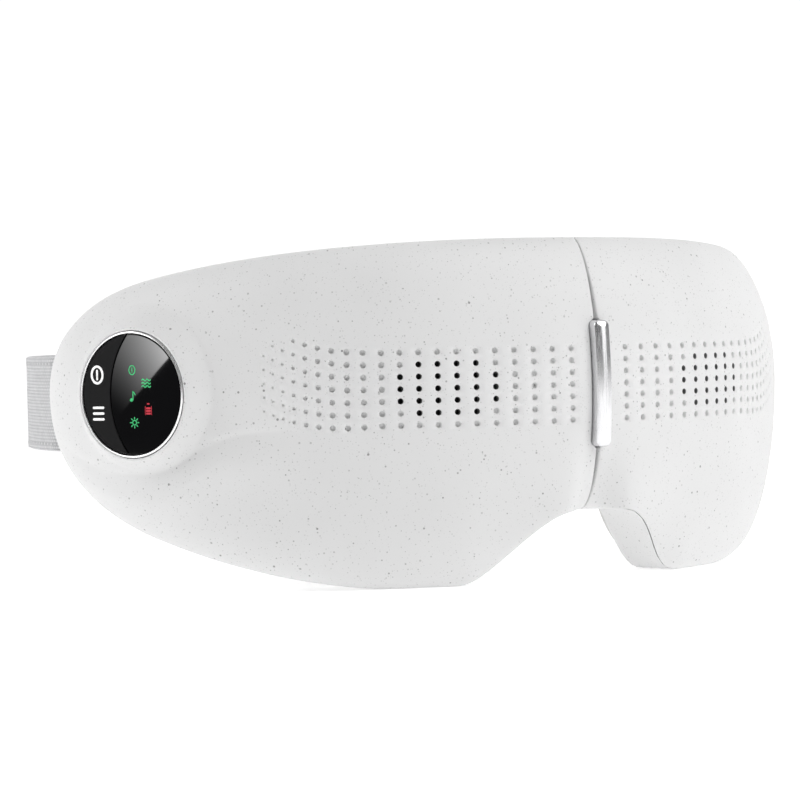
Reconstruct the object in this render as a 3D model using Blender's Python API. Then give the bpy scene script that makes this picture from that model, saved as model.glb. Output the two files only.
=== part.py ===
"""Foldable eye massager mask: two curved halves on a nose-bridge hinge.

Lengths are in millimetres and are scaled to metres when a mesh is made.
+Z is up, the front of the mask faces -Y, and the control half is at -X.
Both halves share one set of rules, written along the front's plan curve:
s is the arc length from the seam, d is the depth behind the front surface
along the curve's normal, and z is the height above the middle hole row.
"""
import math

import bmesh
import bpy
import numpy as np
from mathutils import Vector

MM = 0.001
CONTROL, BATTERY = -1, 1
SIDE_NAMES = {CONTROL: "control", BATTERY: "battery"}

# The row's origin is at the bottom centre of the whole object, strap included.
ORIGIN_Y = 96.0
ORIGIN_Z = -50.0

# Plan curve of the front and the shells' outline
HALF_WIDTH = 114.0
FRONT_DEPTH = 102.0
SEAM_HALF_GAP = 0.5
TEMPLE_END = 167.0
REAR_END = 158.5
HOLLOW_END = 157.0
TAPER_START = 120.0
TAPER_KEEP = 0.3
TOP_HEIGHT = 37.2
TOP_DROP, TOP_SPAN, TOP_POWER = 12.0, 144.0, 2.6
NOSE_HEIGHT = 32.2
CHEEK_DROP = 17.8
CHEEK_RISE = 19.3
NOSE_START, NOSE_END = 8.0, 38.0
CHEEK_START, CHEEK_SPAN, CHEEK_POWER = 57.0, 87.0, 1.6
WALL = 2.0
SEAM_WALL = 4.5
JOINT_GAP = 0.3
PARTING_TOP = 10.2
PARTING_SEAM, PARTING_NOSE, PARTING_CHEEK = 9.9, 1.5, 10.0
PARTING_TEMPLE_EXTRA = 2.0
DOME_TOP, DOME_BOTTOM = 0.65, 0.5
BACK_DEPTH, BACK_DEPTH_TEMPLE = 24.0, 18.0
DRAFT = 0.06
NOSE_FLARE = 0.3

# Fold hinge
HINGE_Y = 10.8
NOTCH_SLOPE = math.tan(math.radians(44.0))
KNUCKLE_RADIUS = 2.0
KNUCKLE_BORE = 1.05
PIN_RADIUS = 0.95
LEAF_HALF_HEIGHT = 14.0
LEAF_REACH = 16.0
LEAF_FRONT, LEAF_BACK = 9.3, 10.5
BAR_HALF_WIDTH, BAR_HALF_HEIGHT = 2.3, 16.0
BAR_PROUD, BAR_ROOT = 2.5, 3.6

# Hole grid
ROW_PITCH = 3.0
HOLE_RADIUS = 0.75
FIRST_COLUMN = 8.5
THROUGH_ROWS = {5: 1, 6: 2, 7: 2, 8: 2, 9: 2, 10: 1}

# Control panel: a flat disc near the control half's temple
PANEL_ARC = 122.6
PANEL_PROUD = 1.9
PANEL_ANGLE = math.radians(65.0)
DISC_RADIUS = 15.1
BEZEL_INNER, BEZEL_OUTER = 15.3, 15.9
BOSS_TOP, BOSS_FOOT = 16.2, 19.4
KEY_ARC_RADIUS, KEY_ARC_CENTRE = 23.3, 16.8

# Strap
STRAP_WIDTH, STRAP_THICK = 25.0, 1.5
STRAP_X, STRAP_START, STRAP_BEND = 99.0, 86.5, 104.0
STRAP_BACK = 90.0
STRAP_Z = -3.0

# Face pads: reach, and how far their outline stays inside the rear shell's
PAD_END = 150.0
PAD_TOP_INSET, PAD_BOTTOM_INSET = 4.0, 4.5
PAD_EDGE, PAD_CROWN = 3.0, 6.5

# Works inside the halves: arc and depth
MOTOR_ARC, MOTOR_DEPTH = 60.0, 11.0
SOCKET_ARC, SOCKET_DEPTH = 80.0, 14.6

# Screws: arc, height for the four that join a half's two shells
SHELL_SCREWS = ((40.0, 30.0), (50.0, -43.0), (112.0, 24.0), (112.0, -33.0))

ARC_ANGLES = np.radians(np.linspace(0.0, 100.0, 1001))
ARC_X = HALF_WIDTH * np.sin(ARC_ANGLES)
ARC_Y = FRONT_DEPTH * (1.0 - np.cos(ARC_ANGLES))
ARC_LENGTHS = np.concatenate(([0.0], np.cumsum(np.hypot(np.diff(ARC_X), np.diff(ARC_Y)))))


def lerp(a, b, f):
    return a + (b - a) * f


def smooth(f):
    f = min(max(f, 0.0), 1.0)
    return f * f * (3.0 - 2.0 * f)


# ---------------------------------------------------------------- the shared form

def front_frame(s):
    """Point of the plan curve at arc s, and its outward normal."""
    angle = float(np.interp(s, ARC_LENGTHS, ARC_ANGLES))
    normal = Vector((FRONT_DEPTH * math.sin(angle), -HALF_WIDTH * math.cos(angle))).normalized()
    return HALF_WIDTH * math.sin(angle), FRONT_DEPTH * (1.0 - math.cos(angle)), normal


def bend(side, s, d, z):
    """Place (arc, depth, height) on one half, in the row frame."""
    x, y, normal = front_frame(s)
    return Vector((side * (x - normal.x * d), y - normal.y * d - ORIGIN_Y, z - ORIGIN_Z))


def taper(s):
    f = min(max((s - TAPER_START) / (TEMPLE_END - TAPER_START), 0.0), 1.0)
    return 1.0 - (1.0 - TAPER_KEEP) * (1.0 - math.sqrt(1.0 - f ** 3))


def top_edge(s):
    return (TOP_HEIGHT - TOP_DROP * (s / TOP_SPAN) ** TOP_POWER) * taper(s)


def bottom_edge(s):
    nose = NOSE_HEIGHT + CHEEK_DROP * smooth((s - NOSE_START) / (NOSE_END - NOSE_START))
    rise = CHEEK_RISE * (max(0.0, s - CHEEK_START) / CHEEK_SPAN) ** CHEEK_POWER
    return (rise - nose) * taper(s)


def edge_height(s, t):
    """Height at t = -1 (bottom edge) to 1 (top edge)."""
    return top_edge(s) * t if t > 0.0 else -bottom_edge(s) * t


def parting_depth(s, t):
    """Depth of the parting line between the front and rear shells."""
    if s < 10.0:
        low = lerp(PARTING_SEAM, PARTING_NOSE, smooth(s / 10.0))
    else:
        low = lerp(PARTING_NOSE, PARTING_CHEEK, smooth((s - 10.0) / 24.0))
    depth = lerp(low, PARTING_TOP, (t + 1.0) / 2.0)
    return depth + PARTING_TEMPLE_EXTRA * smooth((s - 70.0) / 50.0)


def dome_depth(s, t):
    """Depth of the front surface: 0 along the middle, the parting depth at the edges."""
    rim = parting_depth(s, 1.0 if t > 0.0 else -1.0)
    across = rim * (1.0 - (1.0 - t * t) ** (DOME_TOP if t > 0.0 else DOME_BOTTOM))
    f = min(max((s - TAPER_START) / (TEMPLE_END - TAPER_START), 0.0), 1.0)
    along = 1.0 - math.sqrt(1.0 - f * f)
    return across + along * (parting_depth(s, t) - across)


def back_depth(s):
    """Depth of the rear shell's back wall."""
    return lerp(BACK_DEPTH, BACK_DEPTH_TEMPLE, smooth((s - 110.0) / (TEMPLE_END - 110.0)))


def notch_start(d, inset=0.0):
    """Arc at which depth d clears the fold notch behind the hinge."""
    low, high = SEAM_HALF_GAP + inset, 90.0
    for _ in range(24):
        middle = (low + high) / 2.0
        x, y, normal = front_frame(middle)
        clear = y - normal.y * d - HINGE_Y <= NOTCH_SLOPE * (x - normal.x * d - inset)
        low, high = (low, middle) if clear else (middle, high)
    return high


def station(u, start, end):
    """Arc stations, closer together where the temple end rounds off."""
    share = 12.0 / 22.0
    if u <= share:
        return lerp(start, TAPER_START, u / share)
    return lerp(TAPER_START, end, math.sin((u - share) / (1.0 - share) * math.pi / 2.0))


# ---------------------------------------------------------------- building blocks

def material(name, color, roughness, metallic=0.0):
    if name in bpy.data.materials:
        return bpy.data.materials[name]
    made = bpy.data.materials.new(name)
    made.use_nodes = True
    shader = made.node_tree.nodes["Principled BSDF"]
    shader.inputs["Base Color"].default_value = (*color, 1.0)
    shader.inputs["Roughness"].default_value = roughness
    shader.inputs["Metallic"].default_value = metallic
    return made


def shell_plastic():
    return material("shell_plastic", (0.82, 0.82, 0.81), 0.55)


def steel():
    return material("steel", (0.62, 0.62, 0.63), 0.28, 1.0)


def board_green():
    return material("board", (0.03, 0.16, 0.08), 0.5)


def black_plastic():
    return material("black_plastic", (0.02, 0.02, 0.02), 0.4)


def piece(name, bm, finish, origin=None):
    """Turn a millimetre bmesh in the row frame into a named object in metres."""
    bmesh.ops.remove_doubles(bm, verts=bm.verts, dist=0.002)
    bmesh.ops.dissolve_degenerate(bm, edges=bm.edges, dist=0.001)
    bmesh.ops.recalc_face_normals(bm, faces=bm.faces)
    pivot = Vector(origin) if origin else Vector((0.0, 0.0, 0.0))
    for vert in bm.verts:
        vert.co = (vert.co - pivot) * MM
    mesh = bpy.data.meshes.new(name)
    bm.to_mesh(mesh)
    bm.free()
    if finish:
        mesh.materials.append(finish)
    mesh.shade_smooth()
    mesh.set_sharp_from_angle(angle=math.radians(35.0))
    made = bpy.data.objects.new(name, mesh)
    made.location = pivot * MM
    bpy.context.scene.collection.objects.link(made)
    return made


def boolean(target, name, bm, operation):
    """Cut target with bm, or add bm to it, and hide the guide mesh."""
    guide = piece(name, bm, None)
    guide.hide_render = True
    guide.display_type = "WIRE"
    modifier = target.modifiers.new(name, "BOOLEAN")
    modifier.operation = operation
    modifier.object = guide
    return guide


def block(place, counts, bm=None):
    """Closed six-sided solid: place(u, v, w) maps the unit cube's surface."""
    bm = bm or bmesh.new()
    nu, nv, nw = counts
    verts = {}

    def vert(i, j, k):
        if (i, j, k) not in verts:
            verts[i, j, k] = bm.verts.new(place(i / nu, j / nv, k / nw))
        return verts[i, j, k]

    def patch(count_a, count_b, corner):
        for a in range(count_a):
            for b in range(count_b):
                ring = ((a, b), (a + 1, b), (a + 1, b + 1), (a, b + 1))
                bm.faces.new([vert(*corner(p, q)) for p, q in ring])

    for k in (0, nw):
        patch(nu, nv, lambda p, q, k=k: (p, q, k))
    for j in (0, nv):
        patch(nu, nw, lambda p, q, j=j: (p, j, q))
    for i in (0, nu):
        patch(nv, nw, lambda p, q, i=i: (i, p, q))
    return bm


def slab(side, arcs, heights, depths, counts=(6, 2, 1), bm=None):
    """Bent plate between two arcs, two heights and two depths."""
    def place(u, v, w):
        return bend(side, lerp(*arcs, u), lerp(*depths, w), lerp(*heights, v))
    return block(place, counts, bm)


def prism(centre_a, centre_b, radius_a, radius_b, sides, bm=None, start=0.0):
    """Round rod or cone frustum between two points."""
    bm = bm or bmesh.new()
    axis = (centre_b - centre_a).normalized()
    across = axis.orthogonal().normalized()
    if abs(axis.z) < 0.9:
        across = axis.cross(Vector((0.0, 0.0, 1.0))).normalized()
    other = axis.cross(across)
    rings = []
    for centre, radius in ((centre_a, radius_a), (centre_b, radius_b)):
        ring = []
        for i in range(sides):
            angle = start + 2.0 * math.pi * i / sides
            offset = across * math.cos(angle) + other * math.sin(angle)
            ring.append(bm.verts.new(centre + offset * radius))
        rings.append(ring)
    for i in range(sides):
        j = (i + 1) % sides
        bm.faces.new((rings[0][i], rings[0][j], rings[1][j], rings[1][i]))
    bm.faces.new(list(reversed(rings[0])))
    bm.faces.new(rings[1])
    return bm


def rod(side, s, z, depths, radius, sides=12, bm=None):
    """Round rod along the front's normal at arc s."""
    ends = [bend(side, s, d, z) for d in depths]
    return prism(ends[0], ends[1], radius, radius, sides, bm)


def box(low, high, bm=None):
    """Plain box between two corners in the row frame, before the origin shift."""
    def place(u, v, w):
        return Vector((lerp(low[0], high[0], u), lerp(low[1], high[1], v) - ORIGIN_Y,
                       lerp(low[2], high[2], w) - ORIGIN_Z))
    return block(place, (1, 1, 1), bm)


def extruded(outline, heights):
    """Solid over a closed plan outline, between two heights."""
    bm = bmesh.new()
    rings = [[bm.verts.new((x, y - ORIGIN_Y, z - ORIGIN_Z)) for x, y in outline] for z in heights]
    count = len(outline)
    for i in range(count):
        j = (i + 1) % count
        bm.faces.new((rings[0][i], rings[0][j], rings[1][j], rings[1][i]))
    bm.faces.new(list(reversed(rings[0])))
    bm.faces.new(rings[1])
    return bm


def upright(x, y, heights, radius, sides=12, bm=None):
    """Vertical rod at (x, y)."""
    ends = [Vector((x, y - ORIGIN_Y, z - ORIGIN_Z)) for z in heights]
    return prism(ends[0], ends[1], radius, radius, sides, bm)


# ---------------------------------------------------------------- shells

def front_outer(side):
    def place(u, v, w):
        s = station(u, SEAM_HALF_GAP, TEMPLE_END)
        t = math.sin((v - 0.5) * math.pi)
        rim = parting_depth(s, t)
        return bend(side, s, lerp(min(dome_depth(s, t), rim), rim, w), edge_height(s, t))
    return block(place, (22, 10, 1))


def front_inner(side):
    def place(u, v, w):
        s_outer = station(u, SEAM_HALF_GAP, TEMPLE_END)
        s = station(u, SEAM_WALL, HOLLOW_END)
        t = math.sin((v - 0.5) * math.pi)
        rim = parting_depth(s_outer, t)
        dome = min(dome_depth(s_outer, t), rim)
        inner = max(WALL + dome * (1.0 - WALL / 12.0), 0.0)
        height = edge_height(s_outer, t)
        inset = height * (1.0 - WALL / max(abs(edge_height(s_outer, math.copysign(1.0, t))), 5.0))
        return bend(side, s, lerp(inner, max(rim, inner) + 3.0, w), inset)
    return block(place, (22, 10, 1))


def column_arcs():
    """Arc of each hole column, closer together towards the temple."""
    arcs = [FIRST_COLUMN]
    for column in range(1, 20):
        pitch = 5.5 - 0.1 * (column - 1) if column < 12 else 4.4 * 0.92 ** (column - 11)
        arcs.append(arcs[-1] + pitch)
    return arcs


def sound_holes(side):
    """Through holes in front of the speaker."""
    bm = bmesh.new()
    arcs = column_arcs()
    for column, reach in THROUGH_ROWS.items():
        for row in range(-reach, reach + 1):
            rod(side, arcs[column - 1], row * ROW_PITCH, (-1.0, 4.0), HOLE_RADIUS, 6, bm)
    return bm


def screw_posts(side):
    bm = bmesh.new()
    for s, z in SHELL_SCREWS:
        t = (z + math.copysign(3.2, z)) / (top_edge(s) if z > 0.0 else -bottom_edge(s))
        rod(side, s, z, (dome_depth(s, t) + 0.6, back_depth(s) - WALL - JOINT_GAP), 3.0, 8, bm)
    return bm


def screw_bores(side):
    bm = bmesh.new()
    for s, z in SHELL_SCREWS:
        rod(side, s, z, (back_depth(s) - 11.5, back_depth(s) + 1.0), 1.15, 8, bm)
    return bm


def hinge_clearance(side):
    """Room for the knuckles and one leaf: a stepped slot."""
    near, step, far = 0.1, KNUCKLE_RADIUS + 0.6, LEAF_REACH + 0.4
    profile = ((near, HINGE_Y - 2.6), (step, HINGE_Y - 2.6),
               (step, LEAF_FRONT - 0.3), (far, LEAF_FRONT - 0.3),
               (far, LEAF_BACK + 1.4), (step, LEAF_BACK + 1.4), (step, HINGE_Y + 3.0), (near, HINGE_Y + 3.0))
    tall = LEAF_HALF_HEIGHT + 0.4
    return extruded([(side * x, y) for x, y in profile], (-tall, tall))


def bar_clearance(side):
    low, high = sorted((side * -0.2, side * (BAR_HALF_WIDTH + 0.3)))
    tall = BAR_HALF_HEIGHT + 0.3
    return box((low, -4.0, -tall), (high, BAR_ROOT + 0.4, tall))


def leaf_bosses(side):
    bm = bmesh.new()
    for z in (-8.0, 8.0):
        start = Vector((side * 10.0, 1.6 - ORIGIN_Y, z - ORIGIN_Z))
        end = Vector((side * 10.0, LEAF_FRONT - 0.25 - ORIGIN_Y, z - ORIGIN_Z))
        prism(start, end, 2.6, 2.6, 10, bm)
    return bm


def leaf_bores(side):
    bm = bmesh.new()
    for z in (-8.0, 8.0):
        start = Vector((side * 10.0, 4.2 - ORIGIN_Y, z - ORIGIN_Z))
        end = Vector((side * 10.0, 14.0 - ORIGIN_Y, z - ORIGIN_Z))
        prism(start, end, 1.0, 1.0, 10, bm)
    return bm


def make_front_shell(side):
    name = SIDE_NAMES[side] + "_front_shell"
    shell = piece(name, front_outer(side), shell_plastic())
    boolean(shell, name + "_hollow", front_inner(side), "DIFFERENCE")
    boolean(shell, name + "_posts", screw_posts(side), "UNION")
    boolean(shell, name + "_bosses", leaf_bosses(side), "UNION")
    if side == CONTROL:
        boolean(shell, "panel_boss", panel_boss(), "UNION")
        boolean(shell, "panel_recess", panel_recess(), "DIFFERENCE")
        boolean(shell, "panel_window", panel_bore(), "DIFFERENCE")
    boolean(shell, name + "_screw_bores", screw_bores(side), "DIFFERENCE")
    boolean(shell, name + "_leaf_bores", leaf_bores(side), "DIFFERENCE")
    boolean(shell, name + "_sound_holes", sound_holes(side), "DIFFERENCE")
    boolean(shell, name + "_leaf_slot", hinge_clearance(side), "DIFFERENCE")
    boolean(shell, name + "_bar_slot", bar_clearance(side), "DIFFERENCE")
    return shell


def rear_block(side, inset, front_extra, back_inset, counts):
    """Rear shell volume, shrunk by inset on its edges."""
    def place(u, v, w):
        t = 2.0 * v - 1.0
        near = parting_depth(2.0, t) + JOINT_GAP - front_extra
        start = notch_start(lerp(near, BACK_DEPTH - back_inset, w), inset * 1.44)
        s = station(u, start, REAR_END - inset)
        s_edge = station(u, start, REAR_END) if inset else s
        rim = parting_depth(s_edge, t) + JOINT_GAP - front_extra + 2.0 * (1.0 - t ** 4)
        d = lerp(rim, back_depth(s_edge) - back_inset, w)
        if u == 0.0:
            s = max(s, notch_start(d, inset * 1.44))
        lean = max(d - rim, 0.0)
        flare = NOSE_FLARE * (1.0 - smooth((s_edge - 18.0) / 20.0))
        top = top_edge(s_edge) - inset - DRAFT * lean
        bottom = bottom_edge(s_edge) + inset + flare * lean
        return bend(side, s, d, top * t if t > 0.0 else -bottom * t)
    return block(place, counts)


def back_wall_holes(side):
    """Holes for the screws, the air tube and the heater's lead."""
    bm = bmesh.new()
    for s, z in SHELL_SCREWS:
        rod(side, s, z, (back_depth(s) - 1.5, back_depth(s) + 1.0), 2.3, 8, bm)
    rod(side, 80.0, 14.0, (20.0, 26.0), 2.2, 10, bm)
    rod(side, 72.0, -16.0, (20.0, 26.0), 1.6, 10, bm)
    return bm


def strap_slot(side):
    low, high = sorted((side * (STRAP_X - 1.2), side * (STRAP_X + 1.2)))
    half = STRAP_WIDTH / 2.0 + 0.5
    return box((low, 88.0, STRAP_Z - half), (high, 97.0, STRAP_Z + half))


def make_rear_shell(side):
    name = SIDE_NAMES[side] + "_rear_shell"
    shell = piece(name, rear_block(side, 0.0, 0.0, 0.0, (22, 4, 2)), shell_plastic())
    boolean(shell, name + "_hollow", rear_block(side, WALL, 6.0, WALL, (22, 4, 2)), "DIFFERENCE")
    boolean(shell, name + "_holes", back_wall_holes(side), "DIFFERENCE")
    boolean(shell, name + "_bores", screw_bores(side), "DIFFERENCE")
    boolean(shell, name + "_leaf_slot", hinge_clearance(side), "DIFFERENCE")
    boolean(shell, name + "_strap_slot", strap_slot(side), "DIFFERENCE")
    if side == BATTERY:
        boolean(shell, "socket_mouth", socket_block(0.3, 6.0), "DIFFERENCE")
    return shell


def make_shell_screws(side):
    for index, (s, z) in enumerate(SHELL_SCREWS, start=1):
        deep = back_depth(s)
        bm = rod(side, s, z, (deep - 1.4, deep - 0.2), 1.9, 8)
        screw = piece(f"{SIDE_NAMES[side]}_shell_screw_{index}", bm, steel())
        boolean(screw, screw.name + "_shaft", rod(side, s, z, (deep - 9.0, deep - 0.8), 0.9, 6), "UNION")


# ---------------------------------------------------------------- face side

def pad_block(side, counts):
    """Soft pad behind the rear shell, crowned towards the face."""
    def place(u, v, w):
        t = 2.0 * v - 1.0
        s_guess = lerp(26.0, PAD_END, u)
        edge = (1.0 - abs(t) ** 3) * (1.0 - abs(2.0 * u - 1.0) ** 6)
        deep = back_depth(s_guess) + JOINT_GAP
        d = lerp(deep, deep + PAD_EDGE + PAD_CROWN * edge, w)
        s = lerp(notch_start(d, 0.6), PAD_END, u)
        flare = NOSE_FLARE * 14.0 * (1.0 - smooth((s - 20.0) / 20.0))
        top, bottom = top_edge(s) - PAD_TOP_INSET, bottom_edge(s) + PAD_BOTTOM_INSET + flare
        return bend(side, s, max(d, back_depth(s) + JOINT_GAP), lerp(bottom, top, v))
    return block(place, counts)


def pocket(side, arcs, heights, layer, counts=(10, 2, 1)):
    """Bent layer at a stated distance behind the rear shell's back wall."""
    def place(u, v, w):
        s = lerp(*arcs, u)
        return bend(side, s, back_depth(s) + lerp(*layer, w), lerp(*heights, v))
    return block(place, counts)


def make_face_side(side):
    tag = SIDE_NAMES[side]
    leather = material("pad_leather", (0.75, 0.75, 0.74), 0.6)
    pad = piece(tag + "_face_pad", pad_block(side, (14, 6, 2)), leather)
    boolean(pad, tag + "_pad_pocket", pocket(side, (46.0, 114.0), (-27.0, 22.0), (-1.0, 4.8)), "DIFFERENCE")
    piece(tag + "_airbag", pocket(side, (48.0, 112.0), (-25.0, 20.0), (0.4, 3.2)),
          material("airbag_film", (0.7, 0.72, 0.75), 0.35))
    piece(tag + "_heat_film", pocket(side, (50.0, 110.0), (-23.0, 18.0), (3.6, 4.2)),
          material("heat_film", (0.55, 0.3, 0.12), 0.4))


# ---------------------------------------------------------------- hinge

def knuckle_spans():
    edges = [lerp(-LEAF_HALF_HEIGHT, LEAF_HALF_HEIGHT, i / 5.0) for i in range(6)]
    return [(low + 0.15, high - 0.15) for low, high in zip(edges, edges[1:])]


def make_leaf(side):
    name = SIDE_NAMES[side] + "_hinge_leaf"
    low, high = sorted((side * (KNUCKLE_RADIUS + 0.5), side * LEAF_REACH))
    plate = box((low, LEAF_FRONT, -LEAF_HALF_HEIGHT), (high, LEAF_BACK, LEAF_HALF_HEIGHT))
    leaf = piece(name, plate, steel())
    own = [span for index, span in enumerate(knuckle_spans()) if (index % 2 == 0) == (side == CONTROL)]
    tabs, knuckles = bmesh.new(), bmesh.new()
    for low_z, high_z in own:
        near, far = sorted((0.0, side * (KNUCKLE_RADIUS + 1.0)))
        box((near, LEAF_FRONT, low_z), (far, LEAF_BACK, high_z), tabs)
        upright(0.0, HINGE_Y, (low_z, high_z), KNUCKLE_RADIUS, 10, knuckles)
    boolean(leaf, name + "_tabs", tabs, "UNION")
    boolean(leaf, name + "_knuckles", knuckles, "UNION")
    tall = LEAF_HALF_HEIGHT + 1.0
    boolean(leaf, name + "_bore", upright(0.0, HINGE_Y, (-tall, tall), KNUCKLE_BORE, 8), "DIFFERENCE")
    boolean(leaf, name + "_screw_holes", leaf_bores(side), "DIFFERENCE")


def make_leaf_screws(side):
    for index, z in enumerate((-8.0, 8.0), start=1):
        points = [Vector((side * 10.0, y - ORIGIN_Y, z - ORIGIN_Z)) for y in (4.6, 11.0, 10.75, 11.65)]
        head = prism(points[2], points[3], 1.8, 1.8, 8)
        screw = piece(f"{SIDE_NAMES[side]}_hinge_screw_{index}", head, steel())
        boolean(screw, screw.name + "_shaft", prism(points[0], points[1], 0.8, 0.8, 6), "UNION")


def make_hinge_bar():
    """Bright bar over the seam: rounded ends, following the front's profile."""
    def place(u, v, w):
        along = math.sin((u - 0.5) * math.pi)
        across = math.sin((v - 0.5) * math.pi)
        width = BAR_HALF_WIDTH * math.sqrt(max(1.0 - abs(along) ** 14, 0.12))
        crown = BAR_PROUD * (1.0 - 0.35 * across ** 4) * (1.0 - 0.3 * abs(along) ** 10)
        return Vector((across * width, lerp(-crown, BAR_ROOT, w) - ORIGIN_Y,
                       along * BAR_HALF_HEIGHT - ORIGIN_Z))
    piece("hinge_bar", block(place, (10, 4, 1)), steel())


def make_hinge():
    for side in (CONTROL, BATTERY):
        make_leaf(side)
        make_leaf_screws(side)
    tall = LEAF_HALF_HEIGHT - 0.2
    piece("hinge_pin", upright(0.0, HINGE_Y, (-tall, tall), PIN_RADIUS, 8), steel())
    make_hinge_bar()


# ---------------------------------------------------------------- control panel

def panel_point(u, v, w):
    """Point on the panel: u towards the nose, v up, w outwards from the disc's face."""
    x, y, normal = front_frame(PANEL_ARC)
    centre = Vector((-(x + normal.x * PANEL_PROUD), y + normal.y * PANEL_PROUD - ORIGIN_Y, -ORIGIN_Z))
    across = Vector((math.cos(PANEL_ANGLE), -math.sin(PANEL_ANGLE), 0.0))
    outwards = Vector((-math.sin(PANEL_ANGLE), -math.cos(PANEL_ANGLE), 0.0))
    return centre + across * u + Vector((0.0, 0.0, v)) + outwards * w


def panel_rod(depths, radii, sides=24, centre=(0.0, 0.0), bm=None):
    ends = [panel_point(centre[0], centre[1], w) for w in depths]
    return prism(ends[0], ends[1], radii[0], radii[1], sides, bm)


def panel_box(low, high, bm=None):
    def place(u, v, w):
        return panel_point(lerp(low[0], high[0], u), lerp(low[1], high[1], v), lerp(low[2], high[2], w))
    return block(place, (1, 1, 1), bm)


def panel_boss():
    return panel_rod((-4.2, 0.1), (BOSS_FOOT, BOSS_TOP))


def panel_recess():
    return panel_rod((-3.2, 1.0), (BEZEL_OUTER + 0.1, BEZEL_OUTER + 0.1))


def panel_bore():
    return panel_rod((-9.5, 1.0), (13.0, 13.0), 24)


def outline_solid(outline, low, high):
    """Solid between two panel depths over a closed outline of (u, v) points."""
    bm = bmesh.new()
    rings = [[bm.verts.new(panel_point(u, v, w)) for u, v in outline] for w in (low, high)]
    count = len(outline)
    for i in range(count):
        j = (i + 1) % count
        bm.faces.new((rings[0][i], rings[0][j], rings[1][j], rings[1][i]))
    bm.faces.new(list(reversed(rings[0])))
    bm.faces.new(rings[1])
    return bm


def arc_points(centre, radius, start, end, count):
    """Points on a panel-plane arc about (centre, 0)."""
    angles = [lerp(start, end, i / (count - 1)) for i in range(count)]
    return [(centre + radius * math.cos(a), radius * math.sin(a)) for a in angles]


def crossing_angles(radius, arc_radius):
    """Where the disc's edge and the dividing arc cross, seen from both centres."""
    u = (radius ** 2 - arc_radius ** 2 + KEY_ARC_CENTRE ** 2) / (2.0 * KEY_ARC_CENTRE)
    v = math.sqrt(radius ** 2 - u ** 2)
    return math.atan2(v, u), math.atan2(v, u - KEY_ARC_CENTRE)


def make_display_window():
    radius = DISC_RADIUS - 0.1
    disc, divide = crossing_angles(radius, KEY_ARC_RADIUS - 0.15)
    outline = arc_points(0.0, radius, -disc, disc, 21)
    outline += arc_points(KEY_ARC_CENTRE, KEY_ARC_RADIUS - 0.15, divide, 2.0 * math.pi - divide, 11)[1:-1]
    gloss = material("display_gloss", (0.005, 0.005, 0.006), 0.06)
    piece("display_window", outline_solid(outline, -1.8, 0.0), gloss)


def make_rocker_key():
    radius = DISC_RADIUS - 0.1
    disc, divide = crossing_angles(radius, KEY_ARC_RADIUS + 0.25)
    outline = arc_points(0.0, radius, disc, 2.0 * math.pi - disc, 17)
    outline += arc_points(KEY_ARC_CENTRE, KEY_ARC_RADIUS + 0.25, 2.0 * math.pi - divide, divide, 11)[1:-1]
    piece("rocker_key", outline_solid(outline, -1.8, -0.1), black_plastic())


def make_bezel_ring():
    ring = piece("bezel_ring", panel_rod((-1.9, 0.25), (BEZEL_OUTER - 0.1, BEZEL_OUTER - 0.35)), steel())
    boolean(ring, "bezel_bore", panel_rod((-3.0, 1.0), (BEZEL_INNER, BEZEL_INNER)), "DIFFERENCE")


def make_panel():
    make_display_window()
    make_rocker_key()
    make_bezel_ring()
    piece("main_board", panel_rod((-7.7, -6.5), (12.2, 12.2)), board_green())
    for name, v in (("upper", 6.0), ("lower", -6.0)):
        body = panel_box((-9.8, v - 1.8, -6.2), (-6.2, v + 1.8, -4.2))
        switch = piece(f"{name}_tact_switch", body, black_plastic())
        boolean(switch, f"{name}_switch_stem", panel_rod((-4.6, -2.9), (0.9, 0.9), 8, (-8.0, v)), "UNION")


# ---------------------------------------------------------------- works inside

def make_speaker(side):
    piece(SIDE_NAMES[side] + "_speaker", rod(side, 41.5, 0.0, (3.4, 8.0), 10.5, 20), black_plastic())


def make_vibration_motor(side):
    tag = SIDE_NAMES[side]
    axis = bend(side, MOTOR_ARC, MOTOR_DEPTH, 0.0)
    level = axis.z
    at = [Vector((axis.x, axis.y, level + z)) for z in (-9.0, 5.0, 5.4, 6.4, 10.4)]
    piece(tag + "_vibration_motor", prism(at[0], at[1], 4.0, 4.0, 16), steel())
    brass = material("brass", (0.7, 0.55, 0.25), 0.35, 1.0)
    weight = piece(tag + "_eccentric_weight", prism(at[3], at[4], 3.5, 3.5, 16), brass, axis)
    half = bmesh.new()

    def place(u, v, w):
        return Vector((axis.x + lerp(-5.0, 5.0, u), axis.y + lerp(0.7, 5.0, v), level + lerp(6.0, 11.0, w)))
    block(place, (1, 1, 1), half)
    boolean(weight, tag + "_weight_cut", half, "DIFFERENCE")
    boolean(weight, tag + "_weight_shaft", prism(at[2], at[3] + Vector((0, 0, 1.0)), 0.5, 0.5, 8), "UNION")


def make_air_system():
    pump_base, pump_top = bend(CONTROL, 88.0, 12.0, -16.0), bend(CONTROL, 88.0, 12.0, 10.0)
    pump = piece("air_pump", prism(pump_base, pump_top, 7.5, 7.5, 18), steel())
    nozzle = prism(pump_top - Vector((0.0, 0.0, 1.0)), pump_top + Vector((0.0, 0.0, 3.0)), 1.6, 1.6, 10)
    boolean(pump, "pump_nozzle", nozzle, "UNION")
    piece("air_valve", slab(CONTROL, (72.0, 79.0), (-12.0, 2.0), (9.0, 17.0), (1, 1, 1)), black_plastic())
    route = [bend(CONTROL, *p) for p in ((88.0, 12.0, 13.4), (87.6, 12.4, 17.0), (85.0, 14.5, 18.6),
                                         (81.5, 17.5, 17.0), (80.0, 20.5, 14.3), (80.0, 24.2, 14.0))]
    make_tube("air_tube", route, 1.4)


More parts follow.
